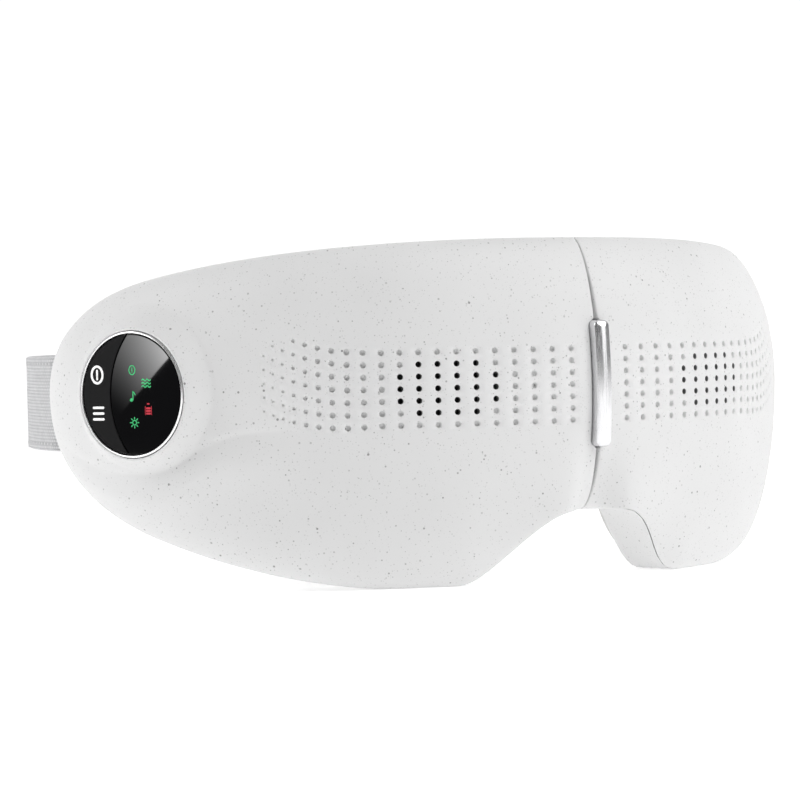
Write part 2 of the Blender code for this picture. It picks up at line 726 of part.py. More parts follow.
def make_tube(name, route, radius):
    """Round tube through a smooth curve's points."""
    curve = bpy.data.curves.new(name, "CURVE")
    curve.dimensions = "3D"
    curve.bevel_depth = radius * MM
    curve.bevel_resolution = 2
    curve.use_fill_caps = True
    spline = curve.splines.new("POLY")
    points = []
    for i in range(len(route) - 1):
        before, after = route[max(i - 1, 0)], route[min(i + 2, len(route) - 1)]
        for step in range(4):
            f = step / 4.0
            slopes = (route[i + 1] - before) / 2.0, (after - route[i]) / 2.0
            points.append(hermite(route[i], route[i + 1], *slopes, f))
    points.append(route[-1])
    spline.points.add(len(points) - 1)
    for target, point in zip(spline.points, points):
        target.co = (*(point * MM), 1.0)
    curve.materials.append(material("tube_silicone", (0.8, 0.8, 0.78), 0.4))
    made = bpy.data.objects.new(name, curve)
    bpy.context.scene.collection.objects.link(made)


def hermite(a, b, slope_a, slope_b, f):
    return (a * (2 * f ** 3 - 3 * f ** 2 + 1) + slope_a * (f ** 3 - 2 * f ** 2 + f)
            + b * (-2 * f ** 3 + 3 * f ** 2) + slope_b * (f ** 3 - f ** 2))


def socket_block(gap, reach):
    """Charging socket's outline, grown by gap and lengthened downwards by reach."""
    low, high = SOCKET_ARC - 4.5 - gap, SOCKET_ARC + 4.5 + gap
    bottom = bottom_edge(SOCKET_ARC)
    return slab(BATTERY, (low, high), (bottom + 0.8 - reach, bottom + 8.3),
                (SOCKET_DEPTH - 1.6 - gap, SOCKET_DEPTH + 1.6 + gap), (2, 1, 1))


def make_battery_works():
    piece("battery_cell", slab(BATTERY, (68.0, 104.0), (-22.0, 18.0), (6.2, 12.4), (8, 1, 1)),
          material("cell_wrap", (0.35, 0.38, 0.42), 0.45))
    socket = piece("usb_socket", socket_block(0.0, 0.0), steel())
    bottom = bottom_edge(SOCKET_ARC)
    mouth = slab(BATTERY, (SOCKET_ARC - 4.1, SOCKET_ARC + 4.1), (bottom, bottom + 6.5),
                 (SOCKET_DEPTH - 1.2, SOCKET_DEPTH + 1.2), (2, 1, 1))
    boolean(socket, "socket_hollow", mouth, "DIFFERENCE")
    board = slab(BATTERY, (68.0, 90.0), (bottom + 7.0, bottom + 20.0), (16.6, 17.8), (4, 1, 1))
    piece("charge_board", board, board_green())


# ---------------------------------------------------------------- strap

def strap_route():
    """Half of the strap's centre line, from the control temple to the back of the head."""
    points = [(-STRAP_X, STRAP_START), (-STRAP_X, STRAP_BEND - 4.0)]
    count = 18
    for i in range(count + 1):
        angle = math.pi / 2.0 * i / count
        points.append((-STRAP_X * math.cos(angle), STRAP_BEND + STRAP_BACK * math.sin(angle)))
    return points


def make_strap():
    half = strap_route()
    route = half + [(-x, y) for x, y in reversed(half[:-1])]
    bm = bmesh.new()
    rings = []
    for i, (x, y) in enumerate(route):
        before, after = route[max(i - 1, 0)], route[min(i + 1, len(route) - 1)]
        along = Vector((after[0] - before[0], after[1] - before[1], 0.0)).normalized()
        out = Vector((along.y, -along.x, 0.0))
        ring = []
        for f, h in ((-1, -1), (1, -1), (1, 1), (-1, 1)):
            centre = Vector((x, y - ORIGIN_Y, STRAP_Z + h * STRAP_WIDTH / 2.0 - ORIGIN_Z))
            ring.append(bm.verts.new(centre + out * (f * STRAP_THICK / 2.0)))
        rings.append(ring)
    for ring_a, ring_b in zip(rings, rings[1:]):
        for i in range(4):
            j = (i + 1) % 4
            bm.faces.new((ring_a[i], ring_a[j], ring_b[j], ring_b[i]))
    bm.faces.new(rings[0])
    bm.faces.new(list(reversed(rings[-1])))
    piece("head_strap", bm, material("strap_elastic", (0.6, 0.6, 0.61), 0.85))


def keeper_frame():
    """Strap point and direction where the keeper sits."""
    angle = math.radians(58.0)
    centre = Vector((-STRAP_X * math.cos(angle), STRAP_BEND + STRAP_BACK * math.sin(angle) - ORIGIN_Y,
                     STRAP_Z - ORIGIN_Z))
    along = Vector((STRAP_X * math.sin(angle), STRAP_BACK * math.cos(angle), 0.0)).normalized()
    return centre, along, Vector((along.y, -along.x, 0.0))


def keeper_block(length, height, thick):
    centre, along, out = keeper_frame()

    def place(u, v, w):
        return (centre + along * lerp(-length, length, u) + out * lerp(-thick, thick, w)
                + Vector((0.0, 0.0, lerp(-height, height, v))))
    return block(place, (1, 1, 1))


def make_strap_fittings():
    make_strap()
    keeper = piece("strap_keeper", keeper_block(4.5, STRAP_WIDTH / 2.0 + 2.4, 2.8), black_plastic())
    boolean(keeper, "keeper_window", keeper_block(6.0, STRAP_WIDTH / 2.0 + 0.5, 1.3), "DIFFERENCE")
    for side in (CONTROL, BATTERY):
        half = STRAP_WIDTH / 2.0
        bar = upright(side * STRAP_X, STRAP_START - 2.2, (STRAP_Z - half, STRAP_Z + half), 1.5, 12)
        piece(SIDE_NAMES[side] + "_strap_anchor", bar, steel())


def main():
    for old in list(bpy.data.objects):
        bpy.data.objects.remove(old, do_unlink=True)
    for side in (CONTROL, BATTERY):
        make_front_shell(side)
        make_rear_shell(side)
        make_shell_screws(side)
        make_face_side(side)
        make_speaker(side)
        make_vibration_motor(side)
    make_hinge()
    make_panel()
    make_air_system()
    make_battery_works()
    make_strap_fittings()


main()
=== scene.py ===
"""Looks of the foldable eye massager mask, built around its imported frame.

Lengths are in millimetres and are scaled to metres when a mesh is made.
The shells' form is the CAD model's own: s is the arc length from the seam along
the front's plan curve, d is the depth behind the front along that curve's normal,
z is the height above the middle hole row, and t is z as a share of the edge's height.
"""
import math

import bmesh
import bpy
import numpy as np
from mathutils import Matrix, Vector
from mathutils.bvhtree import BVHTree
from mathutils.geometry import delaunay_2d_cdt


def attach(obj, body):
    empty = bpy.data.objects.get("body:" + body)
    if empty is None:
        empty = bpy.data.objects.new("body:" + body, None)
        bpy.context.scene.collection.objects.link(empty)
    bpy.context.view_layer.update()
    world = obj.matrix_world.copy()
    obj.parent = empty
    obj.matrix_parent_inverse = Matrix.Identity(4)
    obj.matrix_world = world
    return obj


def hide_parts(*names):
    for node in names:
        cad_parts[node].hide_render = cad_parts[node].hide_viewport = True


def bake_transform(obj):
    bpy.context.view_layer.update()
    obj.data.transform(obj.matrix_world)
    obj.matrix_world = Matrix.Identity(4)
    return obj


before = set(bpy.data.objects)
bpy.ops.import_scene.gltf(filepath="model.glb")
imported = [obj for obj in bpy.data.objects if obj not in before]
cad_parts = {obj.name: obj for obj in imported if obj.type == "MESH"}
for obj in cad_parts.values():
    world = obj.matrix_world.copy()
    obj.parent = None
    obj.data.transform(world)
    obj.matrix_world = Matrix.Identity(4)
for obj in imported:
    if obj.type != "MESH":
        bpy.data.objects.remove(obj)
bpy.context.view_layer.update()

MM = 0.001
CONTROL, BATTERY = -1, 1
SIDE_NAMES = {CONTROL: "control", BATTERY: "battery"}
BODIES = {CONTROL: "control_half", BATTERY: "battery_half"}

# The row's origin is at the bottom centre of the whole object, strap included.
ORIGIN_Y = 96.0
ORIGIN_Z = -50.0

# Plan curve of the front and the shells' outline
HALF_WIDTH = 114.0
FRONT_DEPTH = 102.0
SEAM_HALF_GAP = 0.5
SEAM_END_GAP = 0.15
TEMPLE_END = 167.0
REAR_END = 158.5
TAPER_START = 120.0
TAPER_KEEP = 0.3
TOP_HEIGHT = 37.2
TOP_DROP = 12.0
TOP_SPAN, TOP_POWER = 144.0, 2.6
NOSE_HEIGHT = 32.2
CHEEK_DROP = 17.8
CHEEK_RISE = 19.3
NOSE_START, NOSE_END = 8.0, 38.0
CHEEK_START, CHEEK_SPAN, CHEEK_POWER = 57.0, 87.0, 1.6
WALL = 2.0
SEAM_WALL = 4.5
JOINT_GAP = 0.3
PARTING_SEAM = 9.9
PARTING_TOP = 10.2
PARTING_NOSE = 1.5
PARTING_CHEEK = 10.0
PARTING_TEMPLE_EXTRA = 2.0
PARTING_DIP, PARTING_DIP_SPAN = 10.0, 24.0
PARTING_EXTRA_START, PARTING_EXTRA_SPAN = 70.0, 50.0
DOME_TOP, DOME_BOTTOM = 0.65, 0.5
BACK_DEPTH, BACK_DEPTH_TEMPLE, BACK_TAPER_START = 24.0, 18.0, 110.0
BACK_FILLET = 3.0
DRAFT = 0.06
NOSE_FLARE = 0.3
HALVINGS = 24
# Share of the stations before the temple end rounds off
EVEN_STATIONS = 12.0 / 22.0
# Room between a rear skin, or a pad, and the plane where the folded halves meet
FOLD_ROOM, PAD_NOTCH = 1.25, 1.7
# Arc that an inset of the notch's slanted wall takes, and the far end of the search for that wall
NOTCH_INSET, NOTCH_FAR = 1.44, 90.0

# Fold hinge and the bright bar over it
HINGE_Y = 10.8
NOTCH_SLOPE = math.tan(math.radians(44.0))
KNUCKLE_RADIUS = 2.0
KNUCKLE_FRONT = 8.1
LEAF_HALF_HEIGHT = 14.0
LEAF_REACH = 16.0
LEAF_FRONT, LEAF_BACK = 9.3, 10.5
BAR_HALF_WIDTH, BAR_HALF_HEIGHT = 2.3, 16.0
BAR_PROUD, BAR_ROOT = 2.5, 3.6
BAR_CORNER, BAR_EDGE, BAR_CROWN, BAR_BOW = 1.6, 0.75, 0.3, 0.8

# Hole grid
ROW_PITCH = 3.0
ROWS, COLUMNS = 7, 20
HOLE_RADIUS = 0.75
SMALLEST_HOLE = 0.28
FIRST_COLUMN = 8.5
HOLE_SIDES = 16
MIDDLE_ROW = 4
# Columns' pitch: it drops by a step each, then shrinks by a factor from the last even column on
COLUMN_PITCH, COLUMN_STEP, EVEN_COLUMNS = 5.5, 0.1, 12
FAR_PITCH, FAR_SHRINK = 4.4, 0.92
# Rows climb and spread towards the temple: amount, start and span along the arc
ROW_CLIMB, CLIMB_START, CLIMB_SPAN = 5.5, 66.0, 22.0
ROW_SPREAD, SPREAD_START, SPREAD_SPAN = 0.44, 60.0, 28.0
# Columns over which the holes shrink
SHRINK_START, SHRINK_SPAN = 13.0, 7.0
THROUGH_ROWS = {5: 1, 6: 2, 7: 2, 8: 2, 9: 2, 10: 1}
FIRST_ROW_OF_COLUMN = {18: 2, 19: 2, 20: 3}

# Control panel: a flat disc near the control half's temple
PANEL_ARC, PANEL_SEARCH = 122.6, 40.0
PANEL_PROUD = 1.9
PANEL_ANGLE = math.radians(65.0)
DISC_RADIUS = 15.0
BEZEL_INNER, BEZEL_OUTER = 15.3, 15.8
RECESS_RADIUS, RECESS_DEPTH = 16.0, 3.2
BOSS_TOP, BOSS_SLOPE = 16.5, 1.25
BOSS_FOOT_SOFTNESS = 0.18
BOSS_PATCH, BOSS_REACH, BOSS_SIDES = 23.0, 27.0, 96
BORE_RADIUS = 13.0
KEY_ARC_RADIUS, KEY_ARC_CENTRE = 23.3, 16.8
# Sharper than the plates' rims, so that a flat face mirrors as a flat one
FLAT_SHARP = 6.0
# Heights of a mark's two faces above the disc's face, on the window and on the lower key
ON_GLASS = (-0.02, 0.03)
ON_KEY = (-0.14, -0.06)

# Raised band that sweeps round the panel's underside and fades along the cheek
BAND_LOW, BAND_TAIL = -26.9, -16.0
BAND_SWEEP = 18.5
BAND_WIDTH, BAND_FALL = 6.3, 9.0
BAND_HEIGHT, BAND_LIP = 1.1, 0.42
BAND_CURL, BAND_FOOT = 0.0085, 1.6
BAND_START, BAND_FADE_IN = 74.0, 20.0
BAND_END, BAND_FADE_OUT = 154.0, 16.0

# Strap
STRAP_WIDTH, STRAP_THICK = 25.0, 1.5
STRAP_X, STRAP_START, STRAP_BEND = 99.0, 86.5, 104.0
STRAP_BACK = 90.0
STRAP_Z = -3.0
KEEPER_ANGLE = math.radians(58.0)
WEAVE_ROW, WEAVE_STEP = 0.85, 1.3
STITCH_ROW, STITCH_PITCH = 10.6, 2.4

# Rear shells: screws as (arc, height), and the charging plug's slot
SHELL_SCREWS = ((40.0, 30.0), (50.0, -43.0), (112.0, 24.0), (112.0, -33.0))
SOCKET_ARC, SOCKET_DEPTH = 80.0, 14.6
SOCKET_HALF_SPAN, SOCKET_ROUND = 2.9, 1.9
REAR_SHARP = 40.0

# Face pads
PAD_START, PAD_END = 26.0, 150.0
PAD_GAP = 0.35
PAD_BORDER = 3.2
PAD_CROWN = 6.0
POCKET_ARCS, POCKET_HEIGHTS, POCKET_DEPTH = (46.0, 114.0), (-27.0, 22.0), 4.6
POCKET_SOFT = 1.5
PAD_SWELL_CAP = 1.6
SWELL_FRAMES = 16
PAD_CLOTH = {"quality": 5, "mass": 0.2, "tension_stiffness": 12.0, "compression_stiffness": 12.0,
             "bending_stiffness": 0.6, "use_pressure": True, "uniform_pressure_force": 4.0,
             "vertex_group_mass": "glued"}

# Camera, in metres
CAMERA_TARGET = Vector((-0.0604, -0.096, 0.0477))
CAMERA_DISTANCE = 0.741
CAMERA_AZIMUTH = math.radians(33.0)
CAMERA_ELEVATION = math.radians(1.4)
CAMERA_ROLL = math.radians(-1.3)
CAMERA_LENS, CAMERA_SENSOR = 138.0, 36.0

# Light, in metres and watts
SURROUND_DIM, SURROUND_BRIGHT = 0.16, 1.06
DISPLAY_POWER, DISPLAY_REACH, DISPLAY_WIDTH = 3.0, 0.9, 0.12
# The two points of the disc that mirror the ends of the display softbox's edge
DISPLAY_EDGE = ((14.0, 11.0), (-4.5, -5.6))
# Softboxes of the tent: the way each one lies from the object, and its power
TENT = {"left_light": ((-0.8, 0.3, 0.55), 4.4),
        "fill_light": ((0.35, -0.6, 0.72), 4.5),
        "top_light": ((0.0, 0.0, 1.0), 0.6),
        "bar_light": ((0.55, -0.8, 0.32), 1.3)}
TENT_MIDDLE = Vector((-0.03, -0.04, 0.05))
TENT_REACH, TENT_SIZE = 1.0, 0.6
FLOOR_GLOW_NEAR, FLOOR_GLOW_FAR = 0.42, 0.7
# Distances in millimetres over which the floor's glow rises
GLOW_START, GLOW_END = 350.0, 1500.0
FLOOR_REACH = 12.0

# Noise textures keep mostly between these values
NOISE_LOW, NOISE_HIGH = 0.3, 0.7

ARC_ANGLES = np.radians(np.linspace(0.0, 100.0, 1001))
ARC_X = HALF_WIDTH * np.sin(ARC_ANGLES)
ARC_Y = FRONT_DEPTH * (1.0 - np.cos(ARC_ANGLES))
ARC_LENGTHS = np.concatenate(([0.0], np.cumsum(np.hypot(np.diff(ARC_X), np.diff(ARC_Y)))))


def lerp(a, b, f):
    return a + (b - a) * f


def clamp(f, low=0.0, high=1.0):
    return min(max(f, low), high)


def smooth(f):
    f = clamp(f)
    return f * f * (3.0 - 2.0 * f)


# ---- the shared form

def front_frame(s):
    """Point of the plan curve at arc s, and its outward normal."""
    angle = float(np.interp(s, ARC_LENGTHS, ARC_ANGLES))
    normal = Vector((FRONT_DEPTH * math.sin(angle), -HALF_WIDTH * math.cos(angle))).normalized()
    return HALF_WIDTH * math.sin(angle), FRONT_DEPTH * (1.0 - math.cos(angle)), normal


def bend(side, s, d, z):
    """Place (arc, depth, height) on one half, in the row frame."""
    x, y, normal = front_frame(s)
    return Vector((side * (x - normal.x * d), y - normal.y * d - ORIGIN_Y, z - ORIGIN_Z))


def temple_share(s):
    return clamp((s - TAPER_START) / (TEMPLE_END - TAPER_START))


def taper(s):
    return 1.0 - (1.0 - TAPER_KEEP) * (1.0 - math.sqrt(1.0 - temple_share(s) ** 3))


def top_edge(s):
    return (TOP_HEIGHT - TOP_DROP * (s / TOP_SPAN) ** TOP_POWER) * taper(s)


def bottom_edge(s):
    nose = NOSE_HEIGHT + CHEEK_DROP * smooth((s - NOSE_START) / (NOSE_END - NOSE_START))
    rise = CHEEK_RISE * (max(0.0, s - CHEEK_START) / CHEEK_SPAN) ** CHEEK_POWER
    return (rise - nose) * taper(s)


def edge_height(s, t):
    """Height at t = -1 (bottom edge) to 1 (top edge)."""
    return top_edge(s) * t if t > 0.0 else -bottom_edge(s) * t


def share_of(s, z):
    """The t of height z."""
    return z / top_edge(s) if z > 0.0 else z / -bottom_edge(s)


def parting_depth(s, t):
    """Depth of the parting line between the front and rear shells."""
    if s < PARTING_DIP:
        low = lerp(PARTING_SEAM, PARTING_NOSE, smooth(s / PARTING_DIP))
    else:
        low = lerp(PARTING_NOSE, PARTING_CHEEK, smooth((s - PARTING_DIP) / PARTING_DIP_SPAN))
    depth = lerp(low, PARTING_TOP, (t + 1.0) / 2.0)
    return depth + PARTING_TEMPLE_EXTRA * smooth((s - PARTING_EXTRA_START) / PARTING_EXTRA_SPAN)


def dome_depth(s, t):
    """Depth of the front surface: 0 along the middle, the parting depth at the edges."""
    rim = parting_depth(s, 1.0 if t > 0.0 else -1.0)
    across = rim * (1.0 - max(1.0 - t * t, 0.0) ** (DOME_TOP if t > 0.0 else DOME_BOTTOM))
    along = 1.0 - math.sqrt(1.0 - temple_share(s) ** 2)
    return min(across + along * (parting_depth(s, t) - across), parting_depth(s, t))


def back_depth(s):
    """Depth of the rear shell's back wall."""
    share = (s - BACK_TAPER_START) / (TEMPLE_END - BACK_TAPER_START)
    return lerp(BACK_DEPTH, BACK_DEPTH_TEMPLE, smooth(share))


def halved(low, high, past, halvings=HALVINGS):
    """Where past(arc) turns true between two arcs, as the last two bounds."""
    for _ in range(halvings):
        middle = (low + high) / 2.0
        low, high = (low, middle) if past(middle) else (middle, high)
    return low, high


def notch_start(d, inset=0.0):
    """Arc at which depth d clears the fold notch behind the hinge."""
    def clear(s):
        x, y, normal = front_frame(s)
        return y - normal.y * d - HINGE_Y <= NOTCH_SLOPE * (x - normal.x * d - inset)
    return halved(SEAM_HALF_GAP + inset, NOTCH_FAR, clear)[1]


def station(u, start, end):
    """Arc stations, closer together where the temple end rounds off."""
    if u <= EVEN_STATIONS:
        return lerp(start, TAPER_START, u / EVEN_STATIONS)
    return lerp(TAPER_START, end, math.sin((u - EVEN_STATIONS) / (1.0 - EVEN_STATIONS) * math.pi / 2.0))


# ---- the panel's plane

def panel_axes():
    """Centre of the disc's face, its direction towards the nose, and outwards."""
    x, y, normal = front_frame(PANEL_ARC)
    centre = Vector((-(x + normal.x * PANEL_PROUD), y + normal.y * PANEL_PROUD - ORIGIN_Y, -ORIGIN_Z))
    across = Vector((math.cos(PANEL_ANGLE), -math.sin(PANEL_ANGLE), 0.0))
    outwards = Vector((-math.sin(PANEL_ANGLE), -math.cos(PANEL_ANGLE), 0.0))
    return centre, across, outwards


PANEL_CENTRE, PANEL_ACROSS, PANEL_OUT = panel_axes()


def panel_point(u, v, w):
    """Point on the panel: u towards the nose, v up, w outwards from the disc's face."""
    return PANEL_CENTRE + PANEL_ACROSS * u + Vector((0.0, 0.0, v)) + PANEL_OUT * w


def panel_place(point):
    """The (u, v, w) of a point in the row frame."""
    offset = point - PANEL_CENTRE
    return offset.dot(PANEL_ACROSS), offset.z, offset.dot(PANEL_OUT)


# ---- front surface

def band_crest(s):
    """Height of the raised band's crest line."""
    if s > PANEL_ARC:
        return BAND_LOW + BAND_CURL * (s - PANEL_ARC) ** 2
    return BAND_TAIL + (BAND_LOW - BAND_TAIL) * math.exp(-((PANEL_ARC - s) / BAND_SWEEP) ** 2)


def band_rise(s, z):
    """How far the band stands out of the dome."""
    fade = smooth((s - BAND_START) / BAND_FADE_IN) * smooth((BAND_END - s) / BAND_FADE_OUT)
    above = z - band_crest(s)
    if above <= 0.0:
        rise = BAND_HEIGHT * (1.0 - smooth(-above / BAND_FALL))
    elif above < BAND_WIDTH:
        rise = lerp(BAND_HEIGHT, -BAND_LIP, above / BAND_WIDTH)
    else:
        rise = -BAND_LIP * (1.0 - smooth((above - BAND_WIDTH) / BAND_FOOT))
    return rise * fade


def base_point(side, s, t):
    """Front surface without the panel's boss."""
    height = edge_height(s, t)
    depth = dome_depth(s, t)
    if side == CONTROL:
        depth -= band_rise(s, height) * (1.0 - t ** 8)
    return bend(side, s, depth, height)


def boss_height(u, v, w):
    """The boss's cone joined to the dome with a soft foot."""
    cone = (BOSS_TOP - math.hypot(u, v)) * BOSS_SLOPE
    return (w + cone + math.hypot(w - cone, BOSS_FOOT_SOFTNESS)) / 2.0


def outer_point(side, s, t):
    """Front surface with the panel's boss."""
    point = base_point(side, s, t)
    if side == BATTERY:
        return point
    u, v, w = panel_place(point)
    if math.hypot(u, v) > BOSS_REACH:
        return point
    return panel_point(u, v, boss_height(u, v, w))


def inner_point(side, s, t):
    """Inside of the front wall, inset at the edges."""
    height = edge_height(s, t)
    edge = abs(edge_height(s, math.copysign(1.0, t)))
    height *= 1.0 - WALL / edge * smooth((abs(t) - 0.4) / 0.6)
    depth = min(dome_depth(s, t) + WALL, parting_depth(s, t))
    return bend(side, s - WALL * smooth(temple_share(s)), depth, height)


def under_panel(surface, radius, angle):
    """The (u, v, w) of a front surface at a radius and an angle on the panel's plane."""
    u, v = radius * math.cos(angle), radius * math.sin(angle)

    def found(s):
        return panel_place(surface(CONTROL, s, clamp(share_of(s, v), -1.0, 1.0)))
    low, high = PANEL_ARC - PANEL_SEARCH, TEMPLE_END - 1.0
    low, high = halved(low, high, lambda s: found(s)[0] <= u, HALVINGS + 2)
    return u, v, found((low + high) / 2.0)[2]


# ---- building blocks

def linked(name, data):
    """New object in the scene."""
    made = bpy.data.objects.new(name, data)
    bpy.context.scene.collection.objects.link(made)
    return made


def metre_mesh(name, bm):
    """Mesh in metres from a millimetre bmesh, with its normals outwards."""
    bmesh.ops.recalc_face_normals(bm, faces=bm.faces)
    for vert in bm.verts:
        vert.co = vert.co * MM
    mesh = bpy.data.meshes.new(name)
    bm.to_mesh(mesh)
    bm.free()
    return mesh


def finished(name, bm, finish, body, replaced=(), sharp=35.0, weld=0.002):
    """Turn a millimetre bmesh in the row frame into a named piece that rides on a body."""
    if weld:
        bmesh.ops.remove_doubles(bm, verts=bm.verts, dist=weld)
        bmesh.ops.dissolve_degenerate(bm, edges=bm.edges, dist=weld / 2.0)
    mesh = metre_mesh(name, bm)
    mesh.materials.append(finish)
    mesh.shade_smooth()
    mesh.set_sharp_from_angle(angle=math.radians(sharp))
    made = linked(name, mesh)
    if body:
        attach(made, body)
    if replaced:
        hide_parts(*replaced)
    return made


def cut(target, bm):
    """Cut a millimetre bmesh out of a finished piece."""
    guide_mesh = metre_mesh("guide", bm)
    guide = linked("guide", guide_mesh)
    modifier = target.modifiers.new("cut", "BOOLEAN")
    modifier.operation = "DIFFERENCE"
    modifier.object = guide
    apply_modifiers(target)
    bpy.data.objects.remove(guide, do_unlink=True)
    bpy.data.meshes.remove(guide_mesh)


def apply_modifiers(target):
    """Keep the evaluated mesh and drop the modifiers."""
    bpy.context.view_layer.update()
    graph = bpy.context.evaluated_depsgraph_get()
    result = bpy.data.meshes.new_from_object(target.evaluated_get(graph))
    old = target.data
    target.modifiers.clear()
    target.data = result
    result.name = target.name
    bpy.data.meshes.remove(old)


def bridge(bm, ring_a, ring_b, closed=True):
    """Quads between two rings of equal length."""
    count = len(ring_a)
    for i in range(count if closed else count - 1):
        j = (i + 1) % count
        corners = []
        for vert in (ring_a[i], ring_a[j], ring_b[j], ring_b[i]):
            if vert not in corners:
                corners.append(vert)
        if len(corners) > 2:
            bm.faces.new(corners)


def sleeve(bm, rings, closed=True):
    """Bridge each ring to the next."""
    for ring_a, ring_b in zip(rings, rings[1:]):
        bridge(bm, ring_a, ring_b, closed)


def solid(bm, rings):
    """Solid through rings, with a face over each end."""
    sleeve(bm, rings)
    bm.faces.new(rings[0])
    bm.faces.new(rings[-1])
    return bm


def fan(bm, ring, centre):
    """Close a ring with triangles to one point."""
    middle = bm.verts.new(centre)
    for i, vert in enumerate(ring):
        bm.faces.new((vert, ring[(i + 1) % len(ring)], middle))


def ring_of(bm, points):
    return [bm.verts.new(point) for point in points]


def full_turn(count, offset=0.0):
    """Evenly spaced angles."""
    return [2.0 * math.pi * (k + offset) / count for k in range(count)]


def quarter_turn(count):
    """Evenly spaced angles from 0 to a right angle."""
    return [math.pi / 2.0 * k / count for k in range(count + 1)]


def lathe(bm, centre, axis, profile, sides, closed_profile=False):
    """Turn (radius, height) points about an axis; a radius of 0 closes the end."""
    axis = axis.normalized()
    across = axis.orthogonal().normalized()
    other = axis.cross(across)
    rings = []
    for radius, height in profile:
        if radius == 0.0:
            rings.append([bm.verts.new(centre + axis * height)] * sides)
            continue
        spokes = [(across * math.cos(a) + other * math.sin(a)) * radius for a in full_turn(sides)]
        rings.append(ring_of(bm, [centre + axis * height + spoke for spoke in spokes]))
    sleeve(bm, rings + rings[:1] if closed_profile else rings)
    return bm


def block(place, counts, bm=None):
    """Closed six-sided solid: place(u, v, w) maps the unit cube's surface."""
    bm = bm or bmesh.new()
    nu, nv, nw = counts
    verts = {}

    def vert(i, j, k):
        if (i, j, k) not in verts:
            verts[i, j, k] = bm.verts.new(place(i / nu, j / nv, k / nw))
        return verts[i, j, k]

    def patch(count_a, count_b, corner):
        for a in range(count_a):
            for b in range(count_b):
                ring = ((a, b), (a + 1, b), (a + 1, b + 1), (a, b + 1))
                bm.faces.new([vert(*corner(p, q)) for p, q in ring])

    for k in (0, nw):
        patch(nu, nv, lambda p, q, k=k: (p, q, k))
    for j in (0, nv):
        patch(nu, nw, lambda p, q, j=j: (p, j, q))
    for i in (0, nu):
        patch(nv, nw, lambda p, q, i=i: (i, p, q))
    return bm


def straight_box(bm, low, high):
    """Plain box between two corners, before the origin shift."""
    def place(u, v, w):
        return Vector((lerp(low[0], high[0], u), lerp(low[1], high[1], v) - ORIGIN_Y,
                       lerp(low[2], high[2], w) - ORIGIN_Z))
    block(place, (1, 1, 1), bm)


def prism(bm, near, far):
    """Solid between two rings."""
    bridge(bm, near, far)
    bm.faces.new(list(reversed(near)))
    bm.faces.new(far)
    return bm


def rod(bm, side, s, z, depths, radius):
    """Round rod along the front's normal at arc s."""
    start, end = (bend(side, s, d, z) for d in depths)
    length = (end - start).length
    lathe(bm, start, end - start, ((0.0, 0.0), (radius, 0.0), (radius, length), (0.0, length)), 24)


# ---- front skins

COLLAR = 6.5
RIM_ROWS, COLLAR_ROWS, CELL_SPLITS = 16, 12, 4
FIELD_ROWS = ROWS * CELL_SPLITS
SEAM_ROUNDING = ((0.0, 0.4), (0.12, 0.12), (0.4, 0.0))


def column_arcs():
    """Arc of each hole column, closer together towards the temple."""
    arcs = [FIRST_COLUMN]
    for column in range(1, COLUMNS):
        even = COLUMN_PITCH - COLUMN_STEP * (column - 1)
        shrunk = FAR_PITCH * FAR_SHRINK ** (column - EVEN_COLUMNS + 1)
        arcs.append(arcs[-1] + (even if column < EVEN_COLUMNS else shrunk))
    return arcs


HOLE_ARCS = column_arcs()
CELL_WALLS = ([FIRST_COLUMN - 2.75] + [(a + b) / 2.0 for a, b in zip(HOLE_ARCS, HOLE_ARCS[1:])]
              + [HOLE_ARCS[-1] + 1.2])


def row_height(s, row):
    """Height of a hole row, 1 at the top. The rows climb and spread towards the temple."""
    climb = ROW_CLIMB * clamp((s - CLIMB_START) / CLIMB_SPAN, 0.0, 1.05) ** 2
    pitch = ROW_PITCH + ROW_SPREAD * clamp((s - SPREAD_START) / SPREAD_SPAN)
    return climb + pitch * (MIDDLE_ROW - row)


def hole_radius(column):
    return lerp(HOLE_RADIUS, SMALLEST_HOLE, smooth((column - SHRINK_START) / SHRINK_SPAN))


def seam_gap(z):
    """Half the gap between the halves, narrower above and below the bar."""
    return lerp(SEAM_HALF_GAP, SEAM_END_GAP, smooth((abs(z) - BAR_HALF_HEIGHT) / 18.0))


def seam_arc(z):
    """Edge of the front beside the seam, with a notch that follows the bar's outline."""
    corner = clamp((abs(z) - BAR_HALF_HEIGHT + BAR_CORNER) / 1.75)
    beside_bar = (BAR_HALF_WIDTH + 0.12) * math.sqrt(1.0 - corner ** 2)
    return max(seam_gap(z), beside_bar)


def seam_depth(s, z):
    """Depth of the wall at the seam, shorter in front of the hinge's knuckles."""
    full = parting_depth(s, share_of(s, z))
    return min(full, KNUCKLE_FRONT) if abs(z) < LEAF_HALF_HEIGHT + 0.6 else full


def grid_columns():
    """Nominal arcs of the grid's columns, every fourth one of the middle part on a cell wall."""
    columns = [SEAM_HALF_GAP + inset for inset, _ in SEAM_ROUNDING]
    columns += [lerp(columns[-1], CELL_WALLS[0], f / 4.0) for f in range(1, 4)]
    for start, end in zip(CELL_WALLS, CELL_WALLS[1:]):
        columns += [lerp(start, end, f / CELL_SPLITS) for f in range(CELL_SPLITS)]
    columns += [lerp(CELL_WALLS[-1], TAPER_START, f / 24.0) for f in range(24)]
    columns += [lerp(TAPER_START, TEMPLE_END, math.sin(f / 26.0 * math.pi / 2.0)) for f in range(27)]
    return columns


